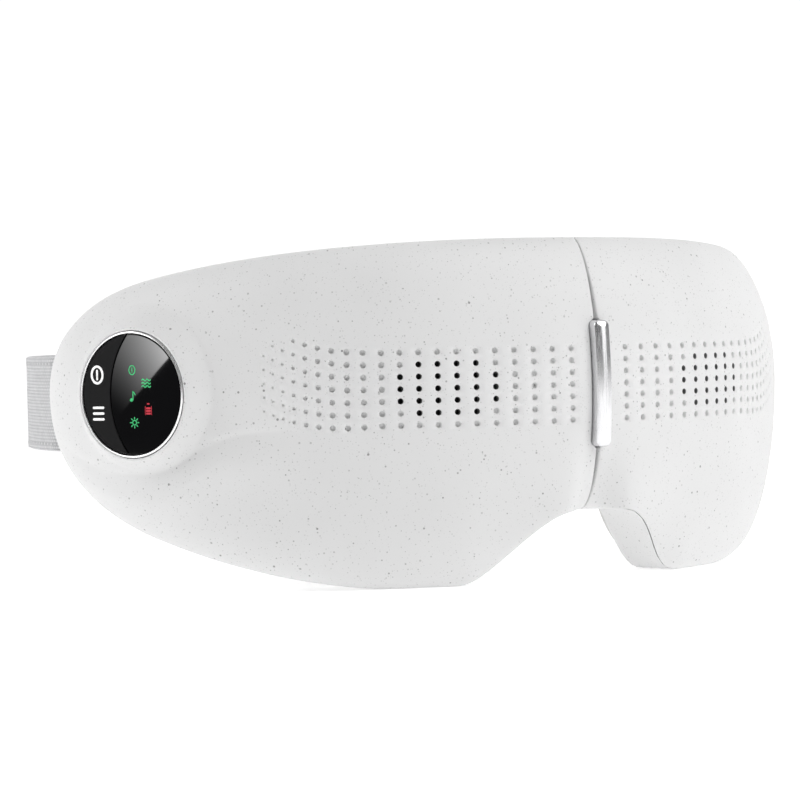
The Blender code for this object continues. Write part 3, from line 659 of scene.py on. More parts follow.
def grid_shares(s):
    """The t of every grid row at arc s: rim rows, a collar, the hole rows, a collar and rim rows."""
    marks = (row_height(s, 7.5) - COLLAR, row_height(s, 7.5), row_height(s, 0.5), row_height(s, 0.5) + COLLAR)
    relax = smooth((s - CELL_WALLS[-1]) / 28.0)
    kept = [lerp(share_of(s, z), t, relax) for z, t in zip(marks, (-0.62, -0.4, 0.4, 0.62))]
    z = [edge_height(s, t) for t in kept]
    shares = [-math.sin(lerp(math.pi / 2.0, math.asin(-kept[0]), k / RIM_ROWS)) for k in range(RIM_ROWS)]
    shares += [share_of(s, lerp(z[0], z[1], k / COLLAR_ROWS)) for k in range(COLLAR_ROWS)]
    shares += [share_of(s, lerp(z[1], z[2], k / FIELD_ROWS)) for k in range(FIELD_ROWS)]
    shares += [share_of(s, lerp(z[2], z[3], k / COLLAR_ROWS)) for k in range(COLLAR_ROWS)]
    shares += [math.sin(lerp(math.asin(kept[3]), math.pi / 2.0, k / RIM_ROWS)) for k in range(RIM_ROWS + 1)]
    return shares


GRID = [(s, grid_shares(s)) for s in grid_columns()]
FIRST_CELL = 6
FIRST_FIELD_ROW = RIM_ROWS + COLLAR_ROWS


def grid_place(i, j):
    """Arc, t and extra depth of a grid corner. The first columns follow the seam's edge."""
    nominal, shares = GRID[i]
    if i >= FIRST_CELL:
        return nominal, shares[j], 0.0
    z = edge_height(nominal, shares[j])
    if i < len(SEAM_ROUNDING):
        inset, drop = SEAM_ROUNDING[i]
        return seam_arc(z) + inset, shares[j], drop
    start = seam_arc(z) + SEAM_ROUNDING[-1][0]
    share = (i - len(SEAM_ROUNDING) + 1) / (FIRST_CELL - len(SEAM_ROUNDING) + 1)
    return lerp(start, CELL_WALLS[0], share), shares[j], 0.0


def inward(side, s):
    """Direction behind the front at arc s."""
    _, _, normal = front_frame(s)
    return Vector((-side * normal.x, -normal.y, 0.0))


def outer_place(side, i, j):
    s, t, drop = grid_place(i, j)
    room = max(parting_depth(s, t) - dome_depth(s, t), 0.0)
    return outer_point(side, s, t) + inward(side, s) * min(drop, room)


def inner_place(side, i, j):
    s, t, _ = grid_place(i, j)
    if i < FIRST_CELL:
        s = lerp(SEAM_WALL, CELL_WALLS[0], i / FIRST_CELL)
    return inner_point(side, s, t)


def holes():
    """Column and row of every hole, and whether it goes through."""
    for column in range(1, COLUMNS + 1):
        for row in range(FIRST_ROW_OF_COLUMN.get(column, 1), ROWS + 1):
            yield column, row, abs(row - MIDDLE_ROW) <= THROUGH_ROWS.get(column, -1)


def cell_border(column, row):
    """Grid corners round a hole's cell, from the lower seam side, anticlockwise."""
    i = FIRST_CELL + CELL_SPLITS * (column - 1)
    j = FIRST_FIELD_ROW + CELL_SPLITS * (ROWS - row)
    n = CELL_SPLITS
    border = [(i + k, j) for k in range(n)] + [(i + n, j + k) for k in range(n)]
    border += [(i + n - k, j + n) for k in range(n)] + [(i, j + n - k) for k in range(n)]
    return border, {(i + a, j + b) for a in range(n) for b in range(n)}


def hole_ring(bm, side, surface, column, row, radius, depth):
    """Ring of a hole, sunk behind a surface."""
    centre_s = HOLE_ARCS[column - 1]
    centre_z = row_height(centre_s, row)
    points = []
    for k in range(HOLE_SIDES):
        angle = math.radians(-135.0 + 360.0 * k / HOLE_SIDES)
        s, z = centre_s + radius * math.cos(angle), centre_z + radius * math.sin(angle)
        points.append(surface(side, s, share_of(s, z)) + inward(side, s) * depth)
    return ring_of(bm, points)


def dimple(bm, side, column, row, border, through):
    """Rounded mouth of a hole and, where it is blind, its wall and rounded bottom. Gives the last ring."""
    radius = hole_radius(column)
    size = radius / HOLE_RADIUS
    profile = [(1.2, 0.0), (1.0, 0.12)]
    if not through:
        profile += [(0.97, 0.6), (0.86, 0.95), (0.5, 1.1)]
    rings = [hole_ring(bm, side, outer_point, column, row, radius * r, depth * size) for r, depth in profile]
    sleeve(bm, [border] + rings)
    if not through:
        middle = sum((vert.co for vert in rings[-1]), Vector()) / HOLE_SIDES
        fan(bm, rings[-1], middle)
    return rings[-1]


def window_cells(place, radius):
    """Grid cells that the panel's round patch takes over."""
    near = set()
    for i in range(FIRST_CELL, len(GRID) - 1):
        if not PANEL_ARC - PANEL_SEARCH + 4.0 < GRID[i][0] < TEMPLE_END - 1.0:
            continue
        for j in range(len(GRID[0][1])):
            u, v, _ = panel_place(place(CONTROL, i, j))
            if math.hypot(u, v) < radius:
                near |= {(i, j), (i - 1, j), (i, j - 1), (i - 1, j - 1)}
    return near


def outline_of(cells):
    """Grid corners round a set of cells, in order."""
    following = {}
    for i, j in cells:
        sides = (((i, j), (i + 1, j), (i, j - 1)), ((i + 1, j), (i + 1, j + 1), (i + 1, j)),
                 ((i + 1, j + 1), (i, j + 1), (i, j + 1)), ((i, j + 1), (i, j), (i - 1, j)))
        for start, end, neighbour in sides:
            if neighbour not in cells:
                following[start] = end
    first = min(following)
    order = [first]
    while following[order[-1]] != first:
        order.append(following[order[-1]])
    return order


def stitch(bm, outline, ring):
    """Fill between the grid's outline and the panel's ring, on the panel's plane."""
    verts = outline + ring
    flat = [Vector(panel_place(vert.co)[:2]) for vert in verts]
    edges = [(i, (i + 1) % len(outline)) for i in range(len(outline))]
    edges += [(len(outline) + i, len(outline) + (i + 1) % len(ring)) for i in range(len(ring))]
    inside = min(flat[i].length for i in range(len(outline), len(verts)))
    _, _, faces, origins, _, _ = delaunay_2d_cdt(flat, edges, [], 1, 1e-6)
    for face in faces:
        corners = [origins[k][0] for k in face]
        centre = sum((flat[k] for k in corners), Vector((0.0, 0.0))) / len(corners)
        if centre.length > inside * math.cos(math.pi / len(ring)):
            bm.faces.new([verts[k] for k in corners])


def panel_ring(bm, surface, radius, lift=None):
    """Ring round the panel on a front surface, or on the boss when lift is given."""
    places = [under_panel(surface, radius, angle) for angle in full_turn(BOSS_SIDES)]
    return ring_of(bm, [panel_point(u, v, lift(u, v, w) if lift else w) for u, v, w in places])


def flat_ring(bm, radii, w, sides=BOSS_SIDES, centre=(0.0, 0.0)):
    """Oval ring parallel to the panel."""
    return ring_of(bm, [panel_point(centre[0] + radii[0] * math.cos(a), centre[1] + radii[1] * math.sin(a), w)
                        for a in full_turn(sides)])


def front_layer(bm, side, place, skipped):
    """Grid quads of one layer, without the skipped cells."""
    rows = len(GRID[0][1])
    verts = {(i, j): bm.verts.new(place(side, i, j)) for i in range(len(GRID)) for j in range(rows)}
    for i in range(len(GRID) - 1):
        for j in range(rows - 1):
            if (i, j) not in skipped:
                bm.faces.new((verts[i, j], verts[i + 1, j], verts[i + 1, j + 1], verts[i, j + 1]))
    return verts


def seam_chain(bm, side, j):
    """The wall at the seam, from the front surface round to the inner layer."""
    s, t, _ = grid_place(0, j)
    z = edge_height(GRID[0][0], t)
    depth = seam_depth(SEAM_HALF_GAP, z)
    notch = clamp(BAR_ROOT + 0.4, min(dome_depth(s, t) + SEAM_ROUNDING[0][1], depth), depth)
    gap = min(s, seam_gap(z))
    places = ((s, notch), (gap, notch), (gap, depth), (SEAM_WALL, depth))
    return ring_of(bm, [bend(side, arc, d, edge_height(SEAM_HALF_GAP, t)) for arc, d in places])


def join_layers(bm, side, outer, inner):
    """Rims at the parting line and the temple, and the wall at the seam."""
    last_i, last_j = len(GRID) - 1, len(GRID[0][1]) - 1
    edges = [[(i, j) for i in range(last_i + 1)] for j in (0, last_j)]
    edges.append([(last_i, j) for j in range(last_j + 1)])
    for edge in edges:
        bridge(bm, [outer[k] for k in edge], [inner[k] for k in edge], False)
    chains = [[outer[0, j]] + seam_chain(bm, side, j) + [inner[0, j]] for j in range(last_j + 1)]
    sleeve(bm, chains, False)
    bm.faces.new(chains[0])
    bm.faces.new(chains[-1])


def panel_window(bm, outer, outer_cells, inner, inner_cells):
    """Boss, recess and bore of the control panel."""
    radii = [lerp(BOSS_PATCH, BOSS_TOP + 0.1, (k / 13.0) ** 0.75) for k in range(14)]
    rings = [panel_ring(bm, base_point, radius, boss_height) for radius in radii]
    lip = ((16.35, -0.02), (16.15, -0.06), (RECESS_RADIUS, -0.25), (RECESS_RADIUS, -RECESS_DEPTH),
           (BORE_RADIUS, -RECESS_DEPTH))
    rings += [flat_ring(bm, (radius, radius), w) for radius, w in lip]
    rings.append(panel_ring(bm, inner_point, BORE_RADIUS))
    sleeve(bm, rings)
    stitch(bm, [outer[k] for k in outline_of(outer_cells)], rings[0])
    stitch(bm, [inner[k] for k in outline_of(inner_cells)], rings[-1])


def make_front_skin(side, finish, shade):
    """Front half: domed wall with its hole grid, whose through holes' walls take the painted shade; the
    control half carries the panel's boss.
    """
    bm = bmesh.new()
    borders, drilled, opened = {}, set(), set()
    for column, row, through in holes():
        border, cells = cell_border(column, row)
        borders[column, row] = border
        drilled |= cells
        opened |= cells if through else set()
    outer_window = window_cells(outer_place, BOSS_PATCH + 0.6) if side == CONTROL else set()
    inner_window = window_cells(inner_place, BORE_RADIUS + 0.6) if side == CONTROL else set()
    outer = front_layer(bm, side, outer_place, drilled | outer_window)
    inner = front_layer(bm, side, inner_place, opened | inner_window)
    for column, row, through in holes():
        border = borders[column, row]
        mouth = dimple(bm, side, column, row, [outer[k] for k in border], through)
        if through:
            back = hole_ring(bm, side, inner_point, column, row, HOLE_RADIUS, 0.0)
            bridge(bm, mouth, back)
            # Painted shade: the through holes' walls take the second material, a dark grey that stands for
            # the shade deep in the holes.
            for face in {face for vert in mouth for face in vert.link_faces if set(back) & set(face.verts)}:
                face.material_index = 1
            bridge(bm, back, [inner[k] for k in border])
    if side == CONTROL:
        panel_window(bm, outer, outer_window, inner, inner_window)
    join_layers(bm, side, outer, inner)
    loose = [vert for vert in bm.verts if not vert.link_faces]
    bmesh.ops.delete(bm, geom=loose, context="VERTS")
    tag = SIDE_NAMES[side]
    skin = finished(tag + "_front_skin", bm, finish, BODIES[side], (tag + "_front_shell",),
                    sharp=50.0)
    skin.data.materials.append(shade)
    return skin


# ---- rear skins

def on_fillet(a, b, radius):
    """Distances of a point from two faces, moved onto the fillet between them."""
    if max(a, b) >= radius:
        return a, b
    angle = math.pi / 4.0 * (1.0 - (b - a) / radius)
    return radius * (1.0 - math.cos(angle)), radius * (1.0 - math.sin(angle))


def rear_form(side, inset, front_extra, back_inset, fillet, counts):
    """The rear half's closed form, shrunk by inset on its edges."""
    room = inset * NOTCH_INSET + FOLD_ROOM

    def place(u, v, w):
        t = math.sin((v - 0.5) * math.pi)
        near = parting_depth(2.0, t) + JOINT_GAP - front_extra
        start = notch_start(lerp(near, BACK_DEPTH - back_inset, w), room)
        s = station(u, start, REAR_END - inset)
        s_edge = station(u, start, REAR_END) if inset else s
        rim = parting_depth(s_edge, t) + JOINT_GAP - front_extra + 2.0 * (1.0 - t ** 4)
        back = back_depth(s_edge) - back_inset
        d = lerp(rim, back, w)
        if u == 0.0:
            s = max(s, notch_start(d, room))
        lean = max(d - rim, 0.0)
        flare = NOSE_FLARE * (1.0 - smooth((s_edge - 18.0) / 20.0))
        edge, slope = (top_edge(s_edge), DRAFT) if t > 0.0 else (-bottom_edge(s_edge), flare)
        reach = edge - inset - slope * lean
        from_edge, from_back = on_fillet(reach * (1.0 - abs(t)), back - d, fillet)
        from_end, from_back = on_fillet(REAR_END - inset - s, from_back, fillet * 0.8)
        return bend(side, REAR_END - inset - from_end, back - from_back, math.copysign(reach - from_edge, t))
    return block(place, counts)


def hinge_slot(side):
    """Room for the knuckles and one leaf: a stepped slot."""
    near, step, far = 0.1, KNUCKLE_RADIUS + 0.6, LEAF_REACH + 0.4
    front, leaf_front, leaf_back, back = HINGE_Y - 2.6, LEAF_FRONT - 0.3, LEAF_BACK + 1.4, HINGE_Y + 3.0
    profile = ((near, front), (step, front), (step, leaf_front), (far, leaf_front),
               (far, leaf_back), (step, leaf_back), (step, back), (near, back))
    tall = LEAF_HALF_HEIGHT + 0.4
    bm = bmesh.new()
    return prism(bm, *(ring_of(bm, [(side * x, y - ORIGIN_Y, z - ORIGIN_Z) for x, y in profile])
                       for z in (-tall, tall)))


def socket_mouth():
    """Rounded slot under the battery half for the charging plug."""
    bottom = bottom_edge(SOCKET_ARC)
    bm = bmesh.new()
    rings = []
    for z in (bottom - 5.2, bottom + 8.6):
        points = []
        for angle in full_turn(32, 0.5):
            along = math.copysign(SOCKET_HALF_SPAN, math.cos(angle)) + SOCKET_ROUND * math.cos(angle)
            points.append(bend(BATTERY, SOCKET_ARC + along, SOCKET_DEPTH + SOCKET_ROUND * math.sin(angle), z))
        rings.append(ring_of(bm, points))
    return prism(bm, *rings)


def rear_openings(side):
    """Screw sinks and bores, the air tube's and the heater lead's holes, and the strap's slot."""
    bm = bmesh.new()
    bore, sink, chamfer, end = 1.15, 2.3, 2.8, 6.5
    profile = ((0.0, 0.0), (bore, 0.0), (bore, 4.5), (sink, 4.5), (sink, 5.8), (chamfer, end), (0.0, end))
    for s, z in SHELL_SCREWS:
        deep = back_depth(s)
        start = bend(side, s, deep - 6.0, z)
        lathe(bm, start, bend(side, s, deep, z) - start, profile, 24)
    rod(bm, side, 80.0, 14.0, (20.0, 26.0), 2.2)
    rod(bm, side, 72.0, -16.0, (20.0, 26.0), 1.6)
    low, high = sorted((side * (STRAP_X - 1.2), side * (STRAP_X + 1.2)))
    half = STRAP_WIDTH / 2.0 + 0.5
    straight_box(bm, (low, 88.0, STRAP_Z - half), (high, 97.0, STRAP_Z + half))
    return bm


def make_rear_skin(side, finish):
    """Rear half: side walls and back wall with rounded edges, hollow behind the front."""
    tag = SIDE_NAMES[side]
    skin = finished(tag + "_rear_skin", rear_form(side, 0.0, 0.0, 0.0, BACK_FILLET, (64, 28, 14)),
                    finish, BODIES[side], (tag + "_rear_shell",), sharp=REAR_SHARP)
    cut(skin, rear_form(side, WALL, 6.0, WALL, 0.0, (40, 16, 4)))
    cut(skin, rear_openings(side))
    cut(skin, hinge_slot(side))
    if side == BATTERY:
        cut(skin, socket_mouth())
    skin.data.shade_smooth()
    skin.data.set_sharp_from_angle(angle=math.radians(REAR_SHARP))
    return skin


# ---- material nodes

SOCKETS = {"metallic": "Metallic", "ior": "IOR", "specular": "Specular IOR Level",
           "sheen_weight": "Sheen Weight", "emission_strength": "Emission Strength"}


def principled(name, color, roughness, **values):
    """New Principled material, its node tree and its shader."""
    made = bpy.data.materials.new(name)
    made.use_nodes = True
    shader = made.node_tree.nodes["Principled BSDF"]
    shader.inputs["Base Color"].default_value = (*color, 1.0)
    shader.inputs["Roughness"].default_value = roughness
    for key, value in values.items():
        shader.inputs[SOCKETS[key]].default_value = value
    return made, made.node_tree, shader


def node(tree, kind, inputs=(), **settings):
    """Add a node; inputs maps sockets to values or to other nodes' outputs."""
    made = tree.nodes.new(kind)
    for key, value in settings.items():
        setattr(made, key, value)
    for key, value in dict(inputs).items():
        if isinstance(value, bpy.types.NodeSocket):
            tree.links.new(value, made.inputs[key])
        else:
            made.inputs[key].default_value = value
    return made


def calc(tree, operation, a, b=0.0):
    return node(tree, "ShaderNodeMath", {0: a, 1: b}, operation=operation).outputs[0]


def remap(tree, value, low, high, to_low, to_high):
    inputs = {"Value": value, "From Min": low, "From Max": high, "To Min": to_low, "To Max": to_high}
    return node(tree, "ShaderNodeMapRange", inputs).outputs["Result"]


def mix_color(tree, factor, a, b):
    made = node(tree, "ShaderNodeMix", {0: factor}, data_type="RGBA")
    for index, value in ((6, a), (7, b)):
        if isinstance(value, bpy.types.NodeSocket):
            tree.links.new(value, made.inputs[index])
        else:
            made.inputs[index].default_value = (*value, 1.0)
    return made.outputs[2]


def millimetres(tree, stretch=(1.0, 1.0, 1.0)):
    """Object coordinates in millimetres, stretched if need be."""
    place = node(tree, "ShaderNodeTexCoord").outputs["Object"]
    scale = Vector(stretch) / MM
    return node(tree, "ShaderNodeMapping", {"Vector": place, "Scale": scale}).outputs["Vector"]


def noise(tree, place, size, detail=2.0):
    inputs = {"Vector": place, "Scale": 1.0 / size, "Detail": detail}
    return node(tree, "ShaderNodeTexNoise", inputs).outputs["Fac"]


def from_noise(tree, value, low=0.0, high=1.0):
    """Spread a noise's usual range over another one."""
    return remap(tree, value, NOISE_LOW, NOISE_HIGH, low, high)


def tinted(tree, place, size, dark, light):
    """Soft patches between two colours."""
    return mix_color(tree, from_noise(tree, noise(tree, place, size)), dark, light)


def drive(shader, socket, value):
    """Link a value to one of the shader's sockets."""
    shader.id_data.links.new(value, shader.inputs[socket])


def add_bump(tree, shader, height, depth, strength):
    """Bump of a given depth in millimetres."""
    inputs = {"Height": height, "Distance": depth * MM, "Strength": strength}
    drive(shader, "Normal", node(tree, "ShaderNodeBump", inputs).outputs["Normal"])


def specks(tree, place, cell, radius, share):
    """Sparse round specks: one at most in each cell, of random size and strength."""
    cells = node(tree, "ShaderNodeTexVoronoi", {"Vector": place, "Scale": 1.0 / cell})
    chance = node(tree, "ShaderNodeSeparateColor", {"Color": cells.outputs["Color"]}).outputs
    size = remap(tree, chance["Red"], 0.0, 1.0, 0.3 * radius / cell, radius / cell)
    spot = calc(tree, "SUBTRACT", 1.0, calc(tree, "DIVIDE", cells.outputs["Distance"], size))
    spot = remap(tree, spot, 0.0, 0.35, 0.0, 1.0)
    present = calc(tree, "LESS_THAN", chance["Green"], share)
    strength = remap(tree, chance["Blue"], 0.0, 1.0, 0.3, 1.0)
    return calc(tree, "MULTIPLY", calc(tree, "MULTIPLY", spot, present), strength)


# ---- materials

# Cell size, largest radius, share of cells with a speck, and strength of each layer
SPECK_LAYERS = ((0.6, 0.2, 0.5, 0.4), (1.1, 0.28, 0.5, 0.65), (2.3, 0.38, 0.6, 0.95))


def speckled_plastic():
    """Matte off-white plastic with fine grey specks and a fine grain."""
    made, tree, shader = principled("speckled_plastic", (0.75, 0.75, 0.75), 0.5)
    place = millimetres(tree)
    base = tinted(tree, place, 30.0, (0.735, 0.735, 0.735), (0.765, 0.765, 0.765))
    for size, radius, share, strength in SPECK_LAYERS:
        mark = calc(tree, "MULTIPLY", specks(tree, place, size, radius, share), strength)
        base = mix_color(tree, mark, base, (0.2, 0.2, 0.195))
    drive(shader, "Base Color", base)
    grain = noise(tree, place, 0.4, 3.0)
    drive(shader, "Roughness", from_noise(tree, grain, 0.46, 0.56))
    add_bump(tree, shader, grain, 0.03, 0.5)
    return made


def brushed_metal(name, color, roughness, grain_size):
    """Metal with a fine brushed grain along its height."""
    made, tree, shader = principled(name, color, roughness, metallic=1.0)
    place = millimetres(tree, (1.0, 1.0, 0.04))
    lines = noise(tree, place, grain_size, 3.0)
    drive(shader, "Roughness", from_noise(tree, lines, roughness * 0.75, roughness * 1.3))
    add_bump(tree, shader, lines, 0.01, 0.4)
    return made


def grained(name, color, roughness, grain_size, depth, variation=0.08, **values):
    """Moulded or coated surface: fine grain in its relief, tone and gloss."""
    made, tree, shader = principled(name, color, roughness, **values)
    place = millimetres(tree)
    grain = noise(tree, place, grain_size, 3.0)
    tone = noise(tree, place, grain_size * 12.0)
    dark = tuple(c * (1.0 - variation) for c in color)
    light = tuple(min(c * (1.0 + variation), 1.0) for c in color)
    drive(shader, "Base Color", mix_color(tree, tone, dark, light))
    drive(shader, "Roughness", from_noise(tree, grain, roughness * 0.85, roughness * 1.15))
    add_bump(tree, shader, grain, depth, 0.6)
    return made


def display_gloss():
    """Black glass-like window with the faintest orange peel."""
    made, tree, shader = principled("display_gloss", (0.0015, 0.0015, 0.002), 0.015, ior=1.12)
    add_bump(tree, shader, noise(tree, millimetres(tree), 6.0, 0.0), 0.004, 0.15)
    return made


def lit_icon(name, color, strength):
    """Printed or lit mark: the light is uneven, as from a small LED behind it."""
    made, tree, shader = principled(name, color, 0.5, emission_strength=strength)
    place = millimetres(tree)
    glow = from_noise(tree, noise(tree, place, 1.6), 0.75, 1.0)
    shade = mix_color(tree, glow, (0.0, 0.0, 0.0), color)
    drive(shader, "Base Color", shade)
    drive(shader, "Emission Color", shade)
    return made


def leather():
    """Soft skin-like cover of the face pads, with pebbled grain and painted shade in the grain's creases."""
    made, tree, shader = principled("pad_leather", (0.74, 0.73, 0.72), 0.55, sheen_weight=0.15)
    place = millimetres(tree)
    pebbles = node(tree, "ShaderNodeTexVoronoi", {"Vector": place, "Scale": 1.0 / 1.1}).outputs["Distance"]
    grain = calc(tree, "ADD", pebbles, calc(tree, "MULTIPLY", noise(tree, place, 0.5, 3.0), 0.5))
    base = tinted(tree, place, 18.0, (0.66, 0.655, 0.645), (0.74, 0.735, 0.725))
    # Painted shade: the grain's creases, sunk by the bump, are darkened towards grey.
    crease_shade = remap(tree, pebbles, 0.35, 0.8, 0.0, 0.25)
    drive(shader, "Base Color", mix_color(tree, crease_shade, base, (0.42, 0.41, 0.4)))
    drive(shader, "Roughness", remap(tree, pebbles, 0.0, 0.8, 0.48, 0.66))
    add_bump(tree, shader, grain, -0.12, 0.6)
    return made


def woven_elastic():
    """Elastic webbing, with painted shade in the gaps of its weave. Its UVs are millimetres along and across
    the strap.
    """
    made, tree, shader = principled("woven_elastic", (0.6, 0.6, 0.61), 0.85, sheen_weight=0.3)
    place = node(tree, "ShaderNodeUVMap", uv_map="weave").outputs["UV"]
    along, across = node(tree, "ShaderNodeSeparateXYZ", {"Vector": place}).outputs[:2]
    row = calc(tree, "FLOOR", calc(tree, "DIVIDE", across, WEAVE_ROW))
    turn = calc(tree, "ADD", calc(tree, "DIVIDE", along, WEAVE_STEP), calc(tree, "MULTIPLY", row, 0.5))
    over = calc(tree, "SINE", calc(tree, "MULTIPLY", turn, 2.0 * math.pi))
    rib = calc(tree, "ABSOLUTE", calc(tree, "SINE", calc(tree, "MULTIPLY", across, math.pi / WEAVE_ROW)))
    height = calc(tree, "MULTIPLY", rib, remap(tree, over, -1.0, 1.0, 0.45, 1.0))
    edge = calc(tree, "ABSOLUTE", calc(tree, "SUBTRACT", calc(tree, "ABSOLUTE", across), STITCH_ROW))
    dash = calc(tree, "LESS_THAN", calc(tree, "FRACT", calc(tree, "DIVIDE", along, STITCH_PITCH)), 0.6)
    stitch = calc(tree, "MULTIPLY", remap(tree, edge, 0.2, 0.4, 0.55, 0.0), dash)
    from_end = calc(tree, "MINIMUM", along, calc(tree, "SUBTRACT", STRAP_LENGTH, along))
    stretched = remap(tree, from_end, 16.0, 24.0, 1.0, 0.35)
    # Painted shade: the weave's low spots between the ribs are darkened, more where the strap is stretched
    # near its ends.
    gap_shade = calc(tree, "MULTIPLY", remap(tree, height, 0.15, 0.75, 1.0, 0.0), stretched)
    fuzz = node(tree, "ShaderNodeTexNoise", {"Vector": place, "Scale": 0.35, "Detail": 3.0}).outputs["Fac"]
    base = mix_color(tree, fuzz, (0.5, 0.5, 0.515), (0.68, 0.68, 0.69))
    base = mix_color(tree, gap_shade, base, (0.2, 0.2, 0.21))
    drive(shader, "Base Color", mix_color(tree, stitch, base, (0.25, 0.25, 0.26)))
    add_bump(tree, shader, height, 0.18, 0.8)
    return made


def make_materials():
    return {
        "shell": speckled_plastic(),
        # Painted shade: dark grey for the walls of the through holes in the white shell, standing for the
        # shade inside them.
        "hole": grained("hole_wall_painted_shade", (0.2, 0.2, 0.2), 0.6, 0.4, 0.05),
        "steel": brushed_metal("steel", (0.6, 0.6, 0.61), 0.3, 0.5),
        "satin": brushed_metal("satin_chrome", (0.8, 0.8, 0.81), 0.2, 0.25),
        "bright": brushed_metal("bright_ring", (0.98, 0.98, 0.98), 0.3, 0.3),
        "display": display_gloss(),
        "key": grained("key_rubber", (0.009, 0.009, 0.0095), 0.5, 0.18, 0.02, specular=0.1),
        "black": grained("black_plastic", (0.02, 0.02, 0.02), 0.42, 0.3, 0.03),
        "pad": leather(),
        "thread": grained("pad_thread", (0.55, 0.55, 0.54), 0.7, 0.2, 0.05, 0.2),
        "airbag": grained("airbag_film", (0.66, 0.69, 0.73), 0.3, 3.0, 0.15),
        "heat_film": grained("heat_film", (0.5, 0.26, 0.1), 0.38, 2.0, 0.05),
        "board": grained("circuit_board", (0.02, 0.12, 0.06), 0.45, 0.8, 0.04, 0.35),
        "brass": brushed_metal("brass", (0.68, 0.5, 0.22), 0.32, 0.4),
        "tube": grained("silicone", (0.75, 0.75, 0.73), 0.4, 1.0, 0.03),
        "cell": grained("cell_wrap", (0.2, 0.24, 0.3), 0.4, 1.5, 0.04),
        "strap": woven_elastic(),
        "white": lit_icon("white_mark", (0.9, 0.9, 0.9), 0.35),
        "green": lit_icon("green_mark", (0.03, 0.5, 0.16), 0.3),
        "red": lit_icon("red_mark", (0.5, 0.01, 0.03), 0.35),
    }


# ---- bar over the seam

def rounded_rectangle(half_width, half_height, radius, corner=8, side=12):
    """Closed outline with round corners and evenly cut long sides, anticlockwise."""
    points = []
    for quarter, (x, z) in enumerate(((1, -1), (1, 1), (-1, 1), (-1, -1))):
        centre = Vector((x * (half_width - radius), z * (half_height - radius)))
        for k in range(corner + 1):
            angle = math.pi / 2.0 * (quarter - 1 + k / corner)
            points.append(centre + Vector((math.cos(angle), math.sin(angle))) * radius)
        if quarter in (0, 2):
            reach = half_height - radius
            points += [Vector((x * half_width, z * lerp(reach, -reach, k / side))) for k in range(1, side)]
    return points


def make_hinge_bar(finish):
    """Bright bar: rounded ends, softened edges and a slightly crowned, bowed face."""
    layers = [(0.3, BAR_ROOT), (0.0, BAR_ROOT - 0.3), (0.0, 0.0)]
    front = -(BAR_PROUD - BAR_CROWN)
    layers += [(BAR_EDGE * (1.0 - math.cos(a)), front + BAR_EDGE * (1.0 - math.sin(a)))
               for a in quarter_turn(6)]
    span = BAR_HALF_WIDTH - BAR_EDGE - 0.03
    layers += [(BAR_EDGE + span * k / 5.0, front - BAR_CROWN * math.sin(math.pi / 2.0 * k / 5.0))
               for k in range(1, 6)]
    bm = bmesh.new()
    rings = []
    for inset, y in layers:
        corner = max(BAR_CORNER - inset, 0.02)
        outline = rounded_rectangle(BAR_HALF_WIDTH - inset, BAR_HALF_HEIGHT - inset, corner)
        bow = BAR_BOW if y < BAR_ROOT - 0.4 else 0.0
        rings.append(ring_of(bm, [(p.x, y + bow * (p.y / BAR_HALF_HEIGHT) ** 2 - ORIGIN_Y, p.y - ORIGIN_Z)
                                  for p in outline]))
    solid(bm, rings)
    finished("seam_bar", bm, finish, "control_half", ("hinge_bar",), sharp=40.0, weld=0.0)


# ---- control panel

def arc_points(centre, radius, start, end, count):
    """Points on a panel-plane arc about (centre, 0)."""
    angles = [lerp(start, end, i / (count - 1)) for i in range(count)]
    return [Vector((centre + radius * math.cos(a), radius * math.sin(a))) for a in angles]


def crossing_angles(radius, arc_radius):
    """Where the disc's edge and the dividing arc cross, seen from both centres."""
    u = (radius ** 2 - arc_radius ** 2 + KEY_ARC_CENTRE ** 2) / (2.0 * KEY_ARC_CENTRE)
    v = math.sqrt(radius ** 2 - u ** 2)
    return math.atan2(v, u), math.atan2(v, u - KEY_ARC_CENTRE)


def window_outline():
    """The disc's part on the nose's side of the dividing arc."""
    divide = KEY_ARC_RADIUS - 0.15
    disc, arc = crossing_angles(DISC_RADIUS, divide)
    edge = arc_points(0.0, DISC_RADIUS, -disc, disc, 97)
    return edge + arc_points(KEY_ARC_CENTRE, divide, arc, 2.0 * math.pi - arc, 49)[1:-1]


def key_outline():
    """The disc's crescent on the temple's side of the dividing arc."""
    divide = KEY_ARC_RADIUS + 0.22
    disc, arc = crossing_angles(DISC_RADIUS, divide)
    edge = arc_points(0.0, DISC_RADIUS, disc, 2.0 * math.pi - disc, 73)
    return edge + arc_points(KEY_ARC_CENTRE, divide, 2.0 * math.pi - arc, arc, 49)[1:-1]


def inset_outline(outline, distance):
    """Outline moved inwards; it runs anticlockwise."""
    moved = []
    for i, point in enumerate(outline):
        before, after = outline[i - 1], outline[(i + 1) % len(outline)]
        sides = [(point - before).normalized(), (after - point).normalized()]
        normals = [Vector((-side.y, side.x)) for side in sides]
        middle = (normals[0] + normals[1]).normalized()
        moved.append(point + middle * distance / max(middle.dot(normals[0]), 0.5))
    return moved


def panel_plate(outline, layers):
    """Solid over a panel-plane outline through (inset, height) layers."""
    bm = bmesh.new()
    rings = []
    for inset, w in layers:
        points = inset_outline(outline, inset) if inset else outline
        rings.append(ring_of(bm, [panel_point(p.x, p.y, w) for p in points]))
    return solid(bm, rings)


